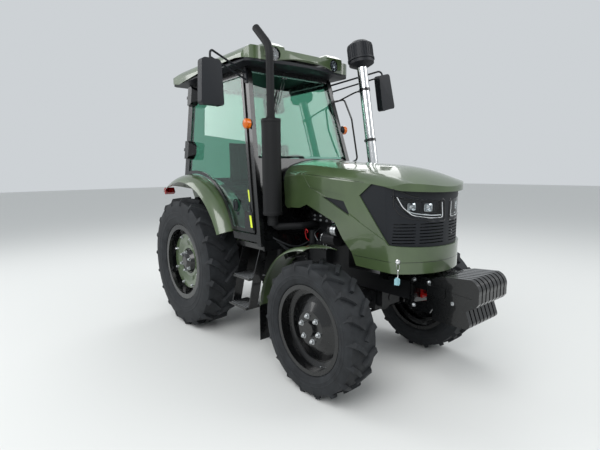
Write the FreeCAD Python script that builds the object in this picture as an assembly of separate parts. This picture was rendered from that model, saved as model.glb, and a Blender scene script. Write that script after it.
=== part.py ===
import FreeCAD, Part
import math
import os
from FreeCAD import Vector

# A compact four-wheel-drive farm tractor with a glazed cab, front weights and a rear three-point hitch.
# Lengths are millimetres. While it is drawn, X runs forward from the rear axle, Y to the left and Z up
# from the ground. Each piece is moved at the end so that X is zero midway between its two ends.

# Overall
wheelbase = 1990.0
running_fit = 0.05
seat_gap = 0.3
pin_gap = 2.0

# Rear wheels
rear_tyre_radius = 685.0
rear_tyre_width = 372.0
rear_wheel_y = 655.0
rear_bead_radius = 356.0
rear_lip_radius = 398.0
rear_rim_half = 148.0
rear_disc_radius = 290.0
rear_disc_hole = 150.0
rear_disc_offset = 92.0
rear_hub_radius = 132.0
rear_shaft_radius = 35.0
rear_lug_height = 34.0
rear_lug_pairs = 19

# Front wheels
front_tyre_radius = 498.0
front_tyre_width = 250.0
front_wheel_y = 672.0
front_bead_radius = 305.0
front_lip_radius = 329.0
front_rim_half = 95.0
front_disc_offset = 62.0
front_hub_radius = 118.0
front_shaft_radius = 30.0
front_lug_height = 27.0
front_lug_pairs = 18

# Both kinds of tyre. A lug's inner and outer ends are (along the tread, across it, half width) as shares of
# the tyre's width, and it points forward at the middle of the tread.
lug_inner = (0.19, 0.02, 0.070)
lug_outer = (-0.17, 0.455, 0.092)
tread_share = 0.43
rim_sheet = 8.0
rim_lip = 7.0

# Front axle and steering
kingpin_y = 600.0
kingpin_radius = 38.0
beam_height = 622.0
beam_radius = 56.0
beam_half = 92.0
front_pivot_radius = 30.0
knuckle_radius = 66.0
steering_arm = 160.0
tie_rod_height = 399.0
tie_rod_radius = 13.0
tie_pin_radius = 10.0
steering_arm_lift = 26.0
steering_arm_sheet = 20.0
front_fender_radius = 600.0
front_fender_sheet = 5.0
front_fender_inner = 562.0
front_fender_outer = 778.0
front_fender_start = -86.0
front_fender_end = 10.0
mudflap_bottom = 235.0

# Driveline
chassis_half = 165.0
head_half = 135.0
engine_front = 1832.0
engine_rear = 1330.0
bell_rear = 1180.0
engine_bottom = 520.0
engine_deck = 1040.0
engine_top = 1400.0
transmission_bottom = 465.0
transmission_top = 850.0
radiator_x = 2235.0
radiator_half = 255.0
support_front = 2440.0
support_bottom = 705.0
support_top = 840.0
support_leg = 52.0
fan_height = 1130.0

# Hood
hood_rear = 1200.0
hood_front = 2645.0
hood_sheet = 5.0
hood_rise = 9.0
hood_hinge_x = 1218.0
hood_hinge_z = 1650.0
hood_hinge_y = 130.0
hood_side_low = (850.0, 370.5)
hood_side_high = (1800.0, 416.5)
nose_turn = 120.0
cap_edge = ((1100.0, 1552.0), (2240.0, 1546.0), (2400.0, 1524.0), (2500.0, 1500.0), (2900.0, 1460.0))
mask_face = 2618.0
mask_corner = 2440.0
cap_corner = 2464.0
mask_sheet = 8.0
brow_rise = 4.0
slat_pitch = 22.0
slat_gap = 7.0
mask_overlap = 10.0
lamp_depth = 40.0

# Cab
cab_top = 2577.0
cab_top_front = 897.0
cab_top_half = 506.0
pillar_lean = 0.254
side_lean = 0.106
cab_floor = 1000.0
cab_rear = -262.0
cab_deck = 1180.0
cab_mount_y = 365.0
seat_riser_front = 430.0
cowl_setback = 22.0
glass_setback = 14.0
windscreen_bottom = 1772.0
windscreen_top = 2520.0
glass_sheet = 6.0
pillar_width = 58.0
pillar_depth = 46.0
rear_post_width = 82.0
wall_sheet = 25.0
platform_sheet = 45.0
door_sheet = 26.0
door_frame_width = 34.0
door_gap = 8.0
door_rear = -172.0
door_top = 2528.0
door_bottom = 1108.0
door_arc_radius = 932.0
door_hinge_heights = (1860.0, 2420.0)
door_hinge_x = -186.0
door_hinge_out = 25.0
hinge_cover_half = 92.0
hinge_cover_out = 68.0
hinge_cover_length = 205.0
hinge_barrel_radius = 13.0
hinge_pin_radius = 7.0

# Rear fenders
fender_sheet = 5.0
fender_inner_radius = 921.0
fender_outer_radius = 846.0
fender_inner_y = 616.0
fender_outer_y = 800.0
fender_wall_y = 436.0
fender_wall_radius = 560.0
fender_crown_drop = 40.0
fender_start = -31.0
fender_end = 64.0

# Roof
roof_rear = -450.0
roof_front = 1150.0
roof_half = 640.0
roof_low = 2585.0
roof_high = 2752.0
roof_sheet = 6.0
liner_high = 2606.0
roof_lamp_rear = 1062.0
roof_lamp_front = 1112.0
roof_lamp_y = 358.0
roof_lamp_z = 2655.0
roof_lamp_radius = 56.0

# Exhaust and intake
exhaust_x = 1295.0
exhaust_y = -545.0
muffler_radius = 81.0
muffler_low = 1265.0
muffler_high = 2070.0
stack_radius = 33.0
intake_y = 520.0
intake_radius = 49.0
intake_top = (1344.0, 2615.0)
intake_low = (1495.0, 1713.0)
cleaner_radius = 120.0
cleaner_height = 245.0

# Mirrors
mirror_reach = 1092.0
mirror_height = 355.0
mirror_width = 200.0
mirror_depth = 70.0

# Front weights
weight_count = 8
weight_thickness = 36.0
weight_spacing = 49.0
weight_front = 2967.0
weight_rear = 2643.0
hook_front = 2738.0
hook_low = 780.0
hook_high = 850.0

# Hitch
hitch_pivot_x = -330.0
hitch_face = -270.0
rockshaft_z = 985.0
lower_pivot_z = 500.0
lift_arm_length = 340.0
lower_link_length = 820.0
link_front_y = 235.0
link_rear_y = 400.0
link_pin_radius = 14.0
link_ball_bore = 14.35
link_eye_radius = 44.0
rockshaft_radius = 28.0
drawbar_pin_radius = 16.0
top_link_bore = 12.7

rear_reach = lower_link_length - hitch_pivot_x + link_eye_radius
frame_shift = Vector((rear_reach - weight_front) / 2, 0, 0)
nodes = {}


def outline_face(points, place):
    # Each entry is an end point, or a point that an arc passes through and then its end point.
    edges = []
    last = place(*points[0][-2:])
    for entry in points[1:] + points[:1]:
        end = place(*entry[-2:])
        if len(entry) == 4:
            edges.append(Part.Arc(last, place(*entry[:2]), end).toShape())
        else:
            edges.append(Part.LineSegment(last, end).toShape())
        last = end
    return Part.Face(Part.Wire(edges))


def prism_along_x(points, x0, x1):
    return outline_face(points, lambda y, z: Vector(x0, y, z)).extrude(Vector(x1 - x0, 0, 0))


def prism_along_y(points, y0, y1):
    return outline_face(points, lambda x, z: Vector(x, y0, z)).extrude(Vector(0, y1 - y0, 0))


def prism_along_z(points, z0, z1):
    return outline_face(points, lambda x, y: Vector(x, y, z0)).extrude(Vector(0, 0, z1 - z0))


def turned_about_y(points, x, z, start=0.0, sweep=360.0):
    # Points are (y, radius). Angles run forward from straight up.
    face = outline_face(points, lambda y, radius: Vector(x, y, z + radius))
    face.rotate(Vector(x, 0, z), Vector(0, 1, 0), start)
    return face.revolve(Vector(x, 0, z), Vector(0, 1, 0), sweep)


def block(x0, x1, y0, y1, z0, z1):
    return Part.makeBox(x1 - x0, y1 - y0, z1 - z0, Vector(x0, y0, z0))


def rod(start, end, radius):
    first = Vector(*start)
    axis = Vector(*end) - first
    return Part.makeCylinder(radius, axis.Length, first, axis)


def fused(pieces):
    whole = pieces[0]
    if len(pieces) > 1:
        whole = whole.fuse(pieces[1:])
    return whole.removeSplitter()


def mirrored(shape):
    return shape.mirror(Vector(0, 0, 0), Vector(0, 1, 0))


def both_sides(shape):
    return Part.makeCompound([shape, mirrored(shape)])


def tube(points, radius, bend):
    # A round bar along straight runs joined by tangent arcs.
    corners = [Vector(*point) for point in points]
    edges = []
    last = corners[0]
    for before, corner, after in zip(corners, corners[1:], corners[2:]):
        toward = (corner - before).normalize()
        away = (after - corner).normalize()
        turn = toward.getAngle(away)
        reach = bend * math.tan(turn / 2)
        start = corner - toward * reach
        end = corner + away * reach
        inward = (away - toward).normalize()
        middle = corner + inward * (bend / math.cos(turn / 2) - bend)
        edges.append(Part.LineSegment(last, start).toShape())
        edges.append(Part.Arc(start, middle, end).toShape())
        last = end
    edges.append(Part.LineSegment(last, corners[-1]).toShape())
    ring = Part.Wire(Part.makeCircle(radius, corners[0], corners[1] - corners[0]))
    return Part.Wire(edges).makePipeShell([ring], True, True)


def leaning_block(low, high):
    # A straight-sided block between two level rectangles, each (x0, x1, y0, y1, z).
    wires = []
    for x0, x1, y0, y1, z in (low, high):
        corners = [Vector(x0, y0, z), Vector(x1, y0, z), Vector(x1, y1, z), Vector(x0, y1, z)]
        wires.append(Part.makePolygon(corners + corners[:1]))
    return Part.makeLoft(wires, True, True)


def pillar_x(z):
    return cab_top_front + pillar_lean * (cab_top - z)


def side_y(z):
    return cab_top_half + side_lean * (cab_top - z)


def front_wall(z0, z1, setback, thickness, margin):
    # A leaning sheet across the front of the cab, set back from the front pillars' outer line.
    rows = []
    for z in (z0, z1):
        half = side_y(z) - margin
        face = pillar_x(z) - setback
        rows.append((face - thickness, face, -half, half, z))
    return leaning_block(*rows)


def side_slab(z0, z1, inner, outer, x0=-600.0, x1=1500.0):
    # The left side plane of the cab as a leaning slab, from inner to outer of the plane.
    rows = [(x0, x1, side_y(z) + inner, side_y(z) + outer, z) for z in (z0, z1)]
    return leaning_block(*rows)


def faceted_ring(rings, x, z, sides):
    # A ring of flat faces about an axle. Each row is (y, radius), and the last row joins the first.
    def corner(row, step):
        y, radius = row
        angle = 2 * math.pi * (step + 0.5) / sides
        return Vector(x + radius * math.sin(angle), y, z + radius * math.cos(angle))

    faces = []
    for row, after in zip(rings, rings[1:] + rings[:1]):
        for step in range(sides):
            points = [corner(row, step), corner(after, step), corner(after, step + 1), corner(row, step + 1)]
            faces.append(Part.Face(Part.makePolygon(points + points[:1])))
    shell = Part.makeShell(faces)
    shell.sewShape()
    solid = Part.Solid(shell)
    if solid.Volume < 0:
        solid.reverse()
    return solid


def tyre(x, y, radius, width, bead_radius, lip_radius, rim_half, lug_height, lug_pairs):
    # A casing of flat faces, two to each pair of lugs, so that the lugs stay light to draw.
    sides = 2 * lug_pairs
    spread = 1 / math.cos(math.pi / sides)
    bead = bead_radius * spread
    lip = (lip_radius + seat_gap) * spread
    base = radius - lug_height
    middle = (lip_radius + base) / 2
    tread_half = width * tread_share
    solid = faceted_ring([
        (y - rim_half, bead),
        (y + rim_half, bead),
        (y + rim_half, lip),
        (y + width / 2, middle),
        (y + tread_half, base),
        (y - tread_half, base),
        (y - width / 2, middle),
        (y - rim_half, lip),
    ], x, radius, sides)
    inner_x, inner_y, inner_half = [share * width for share in lug_inner]
    outer_x, outer_y, outer_half = [share * width for share in lug_outer]
    top = math.sqrt(radius ** 2 - (inner_x + inner_half) ** 2)
    lugs = []
    for step in range(sides):
        side = 1 if step % 2 else -1
        lug = prism_along_z([
            (x + inner_x - inner_half, y + side * inner_y),
            (x + inner_x + inner_half, y + side * inner_y),
            (x + outer_x + outer_half, y + side * outer_y),
            (x + outer_x - outer_half, y + side * outer_y),
        ], radius + middle, radius + top)
        lug.rotate(Vector(x, 0, radius), Vector(0, 1, 0), 360.0 * (step + 0.5) / sides)
        lugs.append(lug)
    return fused([solid] + lugs)


def rim_barrel(x, y, z, bead_radius, lip_radius, rim_half):
    seat = bead_radius - seat_gap
    well = bead_radius - 38.0
    edge = rim_half + rim_lip
    profile = [
        (y - edge, lip_radius),
        (y - rim_half - seat_gap, lip_radius),
        (y - rim_half - seat_gap, seat),
        (y - rim_half * 0.55, seat),
        (y - rim_half * 0.40, well),
        (y + rim_half * 0.15, well),
        (y + rim_half * 0.30, seat),
        (y + rim_half + seat_gap, seat),
        (y + rim_half + seat_gap, lip_radius),
        (y + edge, lip_radius),
        (y + edge, seat - rim_sheet),
        (y + rim_half * 0.26, seat - rim_sheet),
        (y + rim_half * 0.11, well - rim_sheet),
        (y - rim_half * 0.44, well - rim_sheet),
        (y - rim_half * 0.59, seat - rim_sheet),
        (y - edge, seat - rim_sheet),
    ]
    return turned_about_y(profile, x, z)


def rear_wheel():
    z = rear_tyre_radius
    y = rear_wheel_y
    face = y + rear_disc_offset
    tyre_shape = tyre(
        0.0, y, rear_tyre_radius, rear_tyre_width, rear_bead_radius, rear_lip_radius, rear_rim_half,
        rear_lug_height, rear_lug_pairs)
    barrel = rim_barrel(0.0, y, z, rear_bead_radius, rear_lip_radius, rear_rim_half)
    pieces = [barrel]
    lug_reach = rear_bead_radius - rim_sheet / 2
    for step in range(8):
        lug = block(-32, 32, face - 16, face - 8 - seat_gap, z + rear_disc_radius - 45, z + lug_reach)
        lug.rotate(Vector(0, 0, z), Vector(0, 1, 0), 22.5 + 45 * step)
        pieces.append(lug)
    barrel = fused(pieces)
    hub = turned_about_y([
        (y - 70, 0.0),
        (y - 70, 90.0),
        (y + 10, 90.0),
        (y + 24, rear_hub_radius + 34),
        (face - 30 - seat_gap, rear_hub_radius + 34),
        (face - 30 - seat_gap, rear_hub_radius),
        (face + 12, rear_hub_radius - 26),
        (face + 34, 52.0),
        (face + 34, 0.0),
    ], 0.0, z)
    shaft = rod((0, y - 70, z), (0, y - 170, z), rear_shaft_radius)
    hub = fused([hub, shaft])
    disc = turned_about_y([
        (face - 30, rear_disc_hole - 12),
        (face - 30, rear_hub_radius + 42),
        (face - 8, rear_disc_radius - 62),
        (face - 8, rear_disc_radius),
        (face, rear_disc_radius),
        (face, rear_disc_radius - 66),
        (face - 22, rear_hub_radius + 38),
        (face - 22, rear_disc_hole - 12),
    ], 0.0, z)
    return tyre_shape, Part.makeCompound([barrel, hub]), disc


def front_wheel():
    z = front_tyre_radius
    y = front_wheel_y
    face = y + front_disc_offset
    tyre_shape = tyre(
        wheelbase, y, front_tyre_radius, front_tyre_width, front_bead_radius, front_lip_radius, front_rim_half,
        front_lug_height, front_lug_pairs)
    barrel = rim_barrel(wheelbase, y, z, front_bead_radius, front_lip_radius, front_rim_half)
    well = front_bead_radius - 38.0 - rim_sheet
    dish = turned_about_y([
        (face - 8, 0.0),
        (face - 8, front_hub_radius + 8),
        (face - 40, front_hub_radius + 70),
        (y - 2, well - 16),
        (y - 2, well + rim_sheet / 2),
        (y + 6, well + rim_sheet / 2),
        (y + 6, well - 10),
        (face - 32, front_hub_radius + 74),
        (face, front_hub_radius + 12),
        (face, 62.0),
        (face + 24, 52.0),
        (face + 24, 0.0),
    ], wheelbase, z)
    hub = turned_about_y([
        (face - 34, 0.0),
        (face - 34, front_hub_radius),
        (face - 8, front_hub_radius),
        (face - 8, 0.0),
    ], wheelbase, z)
    shaft = rod((wheelbase, face - 34, z), (wheelbase, face - 80, z), front_shaft_radius)
    return tyre_shape, fused([barrel, dish, hub, shaft])


def axle_parts():
    # Rear axle tubes with a bore at each end for the wheel's shaft.
    z = rear_tyre_radius
    hub_back = rear_wheel_y - 70
    trumpet = turned_about_y([
        (180.0, 0.0),
        (180.0, 130.0),
        (230.0, 118.0),
        (420.0, 88.0),
        (hub_back - 34, 88.0),
        (hub_back - 34, 112.0),
        (hub_back - 6, 112.0),
        (hub_back - 6, 0.0),
    ], 0.0, z)
    bore = rod((0, hub_back, z), (0, hub_back - 102, z), rear_shaft_radius + running_fit)
    pedestal = block(-45, 45, cab_mount_y - 40, cab_mount_y + 40, z + 50, cab_deck - wall_sheet - seat_gap)
    nodes["rear_axle_tubes"] = both_sides(fused([trumpet, pedestal]).cut(bore))

    # Front axle beam, higher than the wheel centres, with a kingpin hanging at each end.
    x = wheelbase
    pieces = [
        block(x - beam_half, x + beam_half, -125, 125, beam_height - 95, beam_height + 62),
        rod((x - 60, 0, beam_height - 22), (x + beam_half, 0, beam_height - 22), support_bottom - beam_height + 14),
        rod((x - beam_half - support_leg - 14, 0, beam_height), (x + beam_half + support_leg + 14, 0, beam_height),
            front_pivot_radius),
    ]
    for side in (1, -1):
        y = side * kingpin_y
        pieces.append(rod((x, side * 80, beam_height), (x, y, beam_height), beam_radius))
        pieces.append(rod((x, y, beam_height - 72), (x, y, beam_height + 70), knuckle_radius - 2))
        pieces.append(rod((x, y, beam_height - 186), (x, y, beam_height), kingpin_radius))
    nodes["front_axle_beam"] = fused(pieces)


def knuckle():
    # The left knuckle: a sleeve on the kingpin, the wheel's bearing, a steering arm and the fender's arm.
    x = wheelbase
    y = kingpin_y
    z = front_tyre_radius
    face = front_wheel_y + front_disc_offset
    low = beam_height - 222
    high = beam_height - 77
    arm_low = tie_rod_height + steering_arm_lift
    arm_top = arm_low + steering_arm_sheet
    pieces = [
        rod((x, y, low), (x, y, high), knuckle_radius),
        rod((x, y, z), (x, face - 39, z), 46.0),
        rod((x, face - 62, z), (x, face - 39, z), 108.0),
        prism_along_z([
            (x, y - 42),
            (x - steering_arm, y - 24),
            (x - steering_arm - 24, y, x - steering_arm, y + 24),
            (x, y + 42),
        ], arm_low, arm_top),
        rod((x - steering_arm, y, tie_rod_height - 18), (x - steering_arm, y, arm_top), tie_pin_radius),
        tube([
            (x - 40, y - 30, z + 10),
            (x - 195, y - 80, z + 10),
            (x - 292, y - 84, z + 480),
            (x - 292, y + 70, z + 480),
        ], 11.0, 34.0),
        turned_about_y([
            (y + 20, front_fender_radius - 42),
            (y + 110, front_fender_radius - 42),
            (y + 110, front_fender_radius - front_fender_sheet - seat_gap),
            (y + 20, front_fender_radius - front_fender_sheet - seat_gap),
        ], x, z, -34.0, 5.0),
    ]
    shape = fused(pieces)
    shape = shape.cut(rod((x, y, beam_height - 190), (x, y, high + 5), kingpin_radius + running_fit))
    shape = shape.cut(rod((x, face - 84, z), (x, face, z), front_shaft_radius + running_fit))
    return shape


def front_fender():
    # A green sheet that follows the steered tyre, with a rubber flap behind it.
    inner = front_fender_inner
    outer = front_fender_outer
    r = front_fender_radius
    t = front_fender_sheet
    sheet = turned_about_y([
        (inner, r - 16),
        (inner + 26, r - 3, inner + 60, r),
        (outer - 60, r),
        (outer - 22, r - 4, outer, r - 24),
        (outer - t, r - 26),
        (outer - 26, r - 10, outer - 62, r - t),
        (inner + 60, r - t),
        (inner + 28, r - 8, inner + 2, r - t - 16),
    ], wheelbase, front_tyre_radius, front_fender_start, front_fender_end - front_fender_start)
    # Its front outer corner is cut off at a slant.
    crown = front_tyre_radius + r
    sheet = sheet.cut(prism_along_z([
        (wheelbase - 30, outer + 5),
        (wheelbase + 90, inner + 40),
        (wheelbase + 200, inner + 40),
        (wheelbase + 200, outer + 5),
    ], crown - 80, crown + 10))
    # The flap hangs from the sheet's lower end.
    flap_top = front_tyre_radius + (r - t) * math.cos(math.radians(front_fender_start)) - seat_gap
    flap = block(wheelbase - r, wheelbase - r + t, inner + 8, outer - 10, mudflap_bottom, flap_top)
    return sheet, flap


def tie_rod():
    x = wheelbase - steering_arm
    z = tie_rod_height
    pieces = [rod((x, -kingpin_y, z), (x, kingpin_y, z), tie_rod_radius)]
    for side in (1, -1):
        pieces.append(rod((x, side * kingpin_y, z - 12), (x, side * kingpin_y, z + 12), 23.0))
        pieces.append(rod((x, side * (kingpin_y - 90), z), (x, side * (kingpin_y - 30), z), 18.0))
    shape = fused(pieces)
    for side, gap in ((1, running_fit), (-1, pin_gap)):
        y = side * kingpin_y
        shape = shape.cut(rod((x, y, z - 20), (x, y, z + 20), tie_pin_radius + gap))
    return shape


def driveline():
    half = chassis_half
    sump = prism_along_y([
        (engine_rear + 60, engine_bottom - 70),
        (engine_front - 90, engine_bottom - 70),
        (engine_front - 40, engine_bottom),
        (engine_rear, engine_bottom),
    ], -half + 25, half - 25)
    body = block(engine_rear, engine_front, -half, half, engine_bottom, engine_deck)
    head = block(engine_rear + 30, engine_front, -head_half, head_half, engine_deck, engine_top - 90)
    cover = prism_along_x([
        (-90, engine_top - 90),
        (90, engine_top - 90),
        (78, engine_top - 12),
        (0, engine_top, -78, engine_top - 12),
    ], engine_rear + 60, engine_front - 60)
    # What hangs on its right side: manifold, injection pump, dynamo on its bracket and three filters.
    # Cylinders along the engine are (x from, x to, y, z, radius).
    pieces = [
        sump, body, head, cover,
        block(1430, 1770, -head_half - 62, -head_half, 1196, 1262),
        block(1470, 1640, -half - 78, -half, 842, 962),
        block(1700, 1760, -half - 60, -half, 1010, 1060),
    ]
    for x0, x1, y, z, radius in (
            (1650, 1790, -half - 80, 1078, 62.0),
            (1740, 1835, -half - 118, 1157, 46.0),
            (1500, 1560, -half - 26, 1010, 30.0),
            (1345, 1480, -half - 45, 640, 56.0),
            (1345, 1480, half + 45, 660, 56.0)):
        pieces.append(rod((x0, y, z), (x1, y, z), radius))
    for x, y, low, high, radius in (
            (1560, -half - 52, 720, 850, 42.0),
            (1420, -half - 34, 1000, 1115, 34.0),
            (1640, half + 55, 620, 760, 48.0)):
        pieces.append(rod((x, y, low), (x, y, high), radius))
        ends = sorted((y, math.copysign(half - 5, y)))
        pieces.append(block(x - 24, x + 24, ends[0], ends[1], high - 30, high))
    nodes["engine"] = fused(pieces)

    bell = block(bell_rear, engine_rear, -half - 20, half + 20, transmission_bottom + 20, transmission_top + 40)
    box = prism_along_y([
        (hitch_face, transmission_bottom + 10),
        (bell_rear, transmission_bottom),
        (bell_rear, transmission_top),
        (300, transmission_top),
        (240, transmission_top + 90),
        (hitch_face, transmission_top + 90),
    ], -half, half)
    centre = block(-180, 200, -180, 180, rear_tyre_radius - 150, rear_tyre_radius + 170)
    # A beam across the bell housing carries the front of the cab on two mounts.
    beam_x = bell_rear - 30
    pieces = [bell, box, centre, block(beam_x - 60, beam_x, -cab_mount_y, cab_mount_y, 790, 850)]
    for side in (1, -1):
        foot = rod((beam_x - 30, side * (cab_mount_y - 30), 850),
                   (beam_x - 30, side * (cab_mount_y - 30), cab_floor - platform_sheet - seat_gap), 30.0)
        pieces.append(foot)
    nodes["transmission"] = fused(pieces)

    # The front support carries the axle's pivot pin in two legs, the radiator and the weights.
    pieces = [block(engine_front, support_front, -half, half, support_bottom, support_top)]
    for x in (wheelbase - beam_half - 8 - support_leg, wheelbase + beam_half + 8):
        pieces.append(block(x, x + support_leg, -110, 110, beam_height - 62, support_bottom))
    support = fused(pieces)
    pivot_reach = beam_half + support_leg + 30
    pivot = rod((wheelbase - pivot_reach, 0, beam_height), (wheelbase + pivot_reach, 0, beam_height),
                front_pivot_radius + seat_gap)
    nodes["front_support"] = support.cut(pivot)

    # Radiator with its shroud, and the fan on the engine's front.
    core = block(radiator_x, radiator_x + 75, -radiator_half, radiator_half, support_top, 1400)
    tank = block(radiator_x - 8, radiator_x + 83, -radiator_half, radiator_half, 1400, 1452)
    shroud = rod((radiator_x - 130, 0, fan_height), (radiator_x, 0, fan_height), 232.0)
    shroud = shroud.cut(rod((radiator_x - 131, 0, fan_height), (radiator_x, 0, fan_height), 226.0))
    nodes["radiator"] = fused([core, tank, shroud])
    hub = rod((engine_front, 0, fan_height), (radiator_x - 70, 0, fan_height), 42.0)
    blades = []
    for step in range(6):
        blade = block(-6, 0, -34, 34, 30, 212)
        blade.rotate(Vector(0, 0, 0), Vector(0, 0, 1), 28)
        blade.translate(Vector(radiator_x - 100, 0, fan_height))
        blade.rotate(Vector(radiator_x - 100, 0, fan_height), Vector(1, 0, 0), 60 * step)
        blades.append(blade)
    nodes["engine_fan"] = fused([hub] + blades)

    # The fuel tank hangs on the transmission's left side.
    tank_body = prism_along_x([
        (half + 12, 560),
        (half + 250, 560),
        (half + 300, 610),
        (half + 300, 860),
        (half + 250, 900),
        (half + 12, 900),
    ], 560, 1040)
    nodes["fuel_tank"] = fused([tank_body, block(700, 900, half, half + 40, 700, 760)])


def weights():
    # Suitcase weights hooked over a bar on the carrier. Points are (x, z).
    outline = [
        (weight_rear, 612),
        (2880, 612),
        (2905, 622, 2912, 650),
        (2884, 730),
        (2950, 770),
        (weight_front, 795),
        (weight_front, 850),
        (weight_front - 16, 915, 2905, 944),
        (2735, 930),
        (weight_rear, 905),
        (weight_rear, hook_high),
        (hook_front, hook_high),
        (hook_front, hook_low),
        (weight_rear, hook_low),
    ]
    pieces = []
    for step in range(weight_count):
        y = (step - (weight_count - 1) / 2) * weight_spacing
        pieces.append(prism_along_y(outline, y - weight_thickness / 2, y + weight_thickness / 2))
    # The outer weights have a sunk field with a raised border, and a rib below it.
    relief = prism_along_y([
        (2690, 900),
        (2720, 852),
        (2765, 832),
        (2920, 818),
        (2936, 852),
        (2918, 896, 2880, 915),
        (2735, 908),
    ], 0, 3)
    reach = weight_count * weight_spacing / 2 - (weight_spacing - weight_thickness) / 2
    pieces[-1] = pieces[-1].cut(relief.translated(Vector(0, reach - 3, 0)))
    pieces[0] = pieces[0].cut(relief.translated(Vector(0, -reach, 0)))
    nodes["front_weights"] = Part.makeCompound(pieces)
    reach = weight_count * weight_spacing / 2
    plate_front = weight_rear - 8
    bar = block(plate_front - 35, hook_front - seat_gap, -reach, reach, hook_low + seat_gap, hook_high - seat_gap)
    plates = []
    for side in (1, -1):
        y = side * 150.0
        plates.append(prism_along_y([
            (support_front, 640),
            (plate_front - 35, 640),
            (plate_front, 700),
            (plate_front, 888),
            (support_front, 888),
        ], y - 8, y + 8))
    deck = block(support_front, weight_rear - 3, -170, 170, 880, 892)
    back = block(support_front, support_front + 14, -170, 170, 640, 892)
    window = prism_along_y([
        (support_front + 30, 690),
        (plate_front - 60, 728),
        (plate_front - 60, 800),
        (support_front + 30, 800),
    ], -200, 200)
    frame = fused([bar, deck, back] + plates)
    nodes["weight_carrier"] = frame.cut(window)


def nose_face(nose, corner, half, z):
    # The hood's plan at one height: an arc across the front that turns into straight sides.
    depth = nose - corner
    front_radius = (depth ** 2 + half ** 2) / (2 * depth)
    centre = nose - front_radius
    turn_y = half - nose_turn
    turn_x = centre + math.sqrt((front_radius - nose_turn) ** 2 - turn_y ** 2)
    end = math.atan2(turn_y, turn_x - centre)
    middle = (end + math.pi / 2) / 2
    end_x = turn_x + nose_turn * math.cos(end)
    end_y = turn_y + nose_turn * math.sin(end)
    middle_x = turn_x + nose_turn * math.cos(middle)
    middle_y = turn_y + nose_turn * math.sin(middle)
    return outline_face([
        (hood_rear - 50, -half - 90),
        (turn_x - 5, -half - 90),
        (turn_x, -half),
        (middle_x, -middle_y, end_x, -end_y),
        (nose, 0, end_x, end_y),
        (middle_x, middle_y, turn_x, half),
        (turn_x - 5, half + 90),
        (hood_rear - 50, half + 90),
    ], lambda x, y: Vector(x, y, z))


def hood_body(inset):
    # Sections of the hood from the windscreen forward. Each row is the section's x, half width at the
    # bottom, half width and height at the crease, half width and height at the shoulder, and top height.
    rows = (
        (1190.0, 345.0, 348.0, 1580.0, 264.0, 1674.0, 1724.0),
        (1800.0, 362.0, 366.0, 1572.0, 288.0, 1654.0, 1701.0),
        (2330.0, 372.0, 402.0, 1536.0, 304.0, 1602.0, 1652.0),
        (2520.0, 372.0, 407.0, 1510.0, 300.0, 1556.0, 1594.0),
        (2720.0, 372.0, 410.0, 1448.0, 290.0, 1452.0, 1456.0),
    )
    wires = []
    for x, bottom_half, crease_half, crease_z, shoulder_half, shoulder_z, top in rows:
        a = bottom_half - inset
        b = crease_half - inset
        c = shoulder_half - inset * 0.6
        crease = crease_z - inset * 0.4
        shoulder = shoulder_z - inset
        crown = top - inset
        bulge_half = (b + c) / 2 + 8
        bulge_z = (crease + shoulder) / 2 + 8
        face = outline_face([
            (-a, 880),
            (a, 880),
            (b, crease),
            (bulge_half, bulge_z, c, shoulder),
            (0, crown, -c, shoulder),
            (-bulge_half, bulge_z, -b, crease),
        ], lambda y, z: Vector(x, y, z))
        wires.append(face.OuterWire)
    body = Part.makeLoft(wires, True, False)
    # The nose is rounded in plan, and the cap stands out over the mask below it.
    noses = []
    for nose, corner in ((mask_face, mask_corner), (hood_front, cap_corner)):
        wires = [nose_face(nose - inset, corner - inset, half - inset, z).OuterWire
                 for z, half in (hood_side_low, hood_side_high)]
        noses.append(Part.makeLoft(wires, True, True))
    above = above_cap_edge(inset)
    low_nose = noses[0].cut(above)
    high_nose = noses[1].common(above)
    return body.common(low_nose.fuse(high_nose))


def above_cap_edge(lift):
    # Everything above the lower edge of the cap, whose line falls towards the nose.
    return prism_along_y([(x, z + lift) for x, z in cap_edge] + [(2900, 1900), (1100, 1900)], -700, 700)


def grown_prism_along_y(points, growth, y0, y1):
    face = outline_face(points, lambda x, z: Vector(x, y0, z)).makeOffset2D(growth)
    return face.extrude(Vector(0, y1 - y0, 0))


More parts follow.
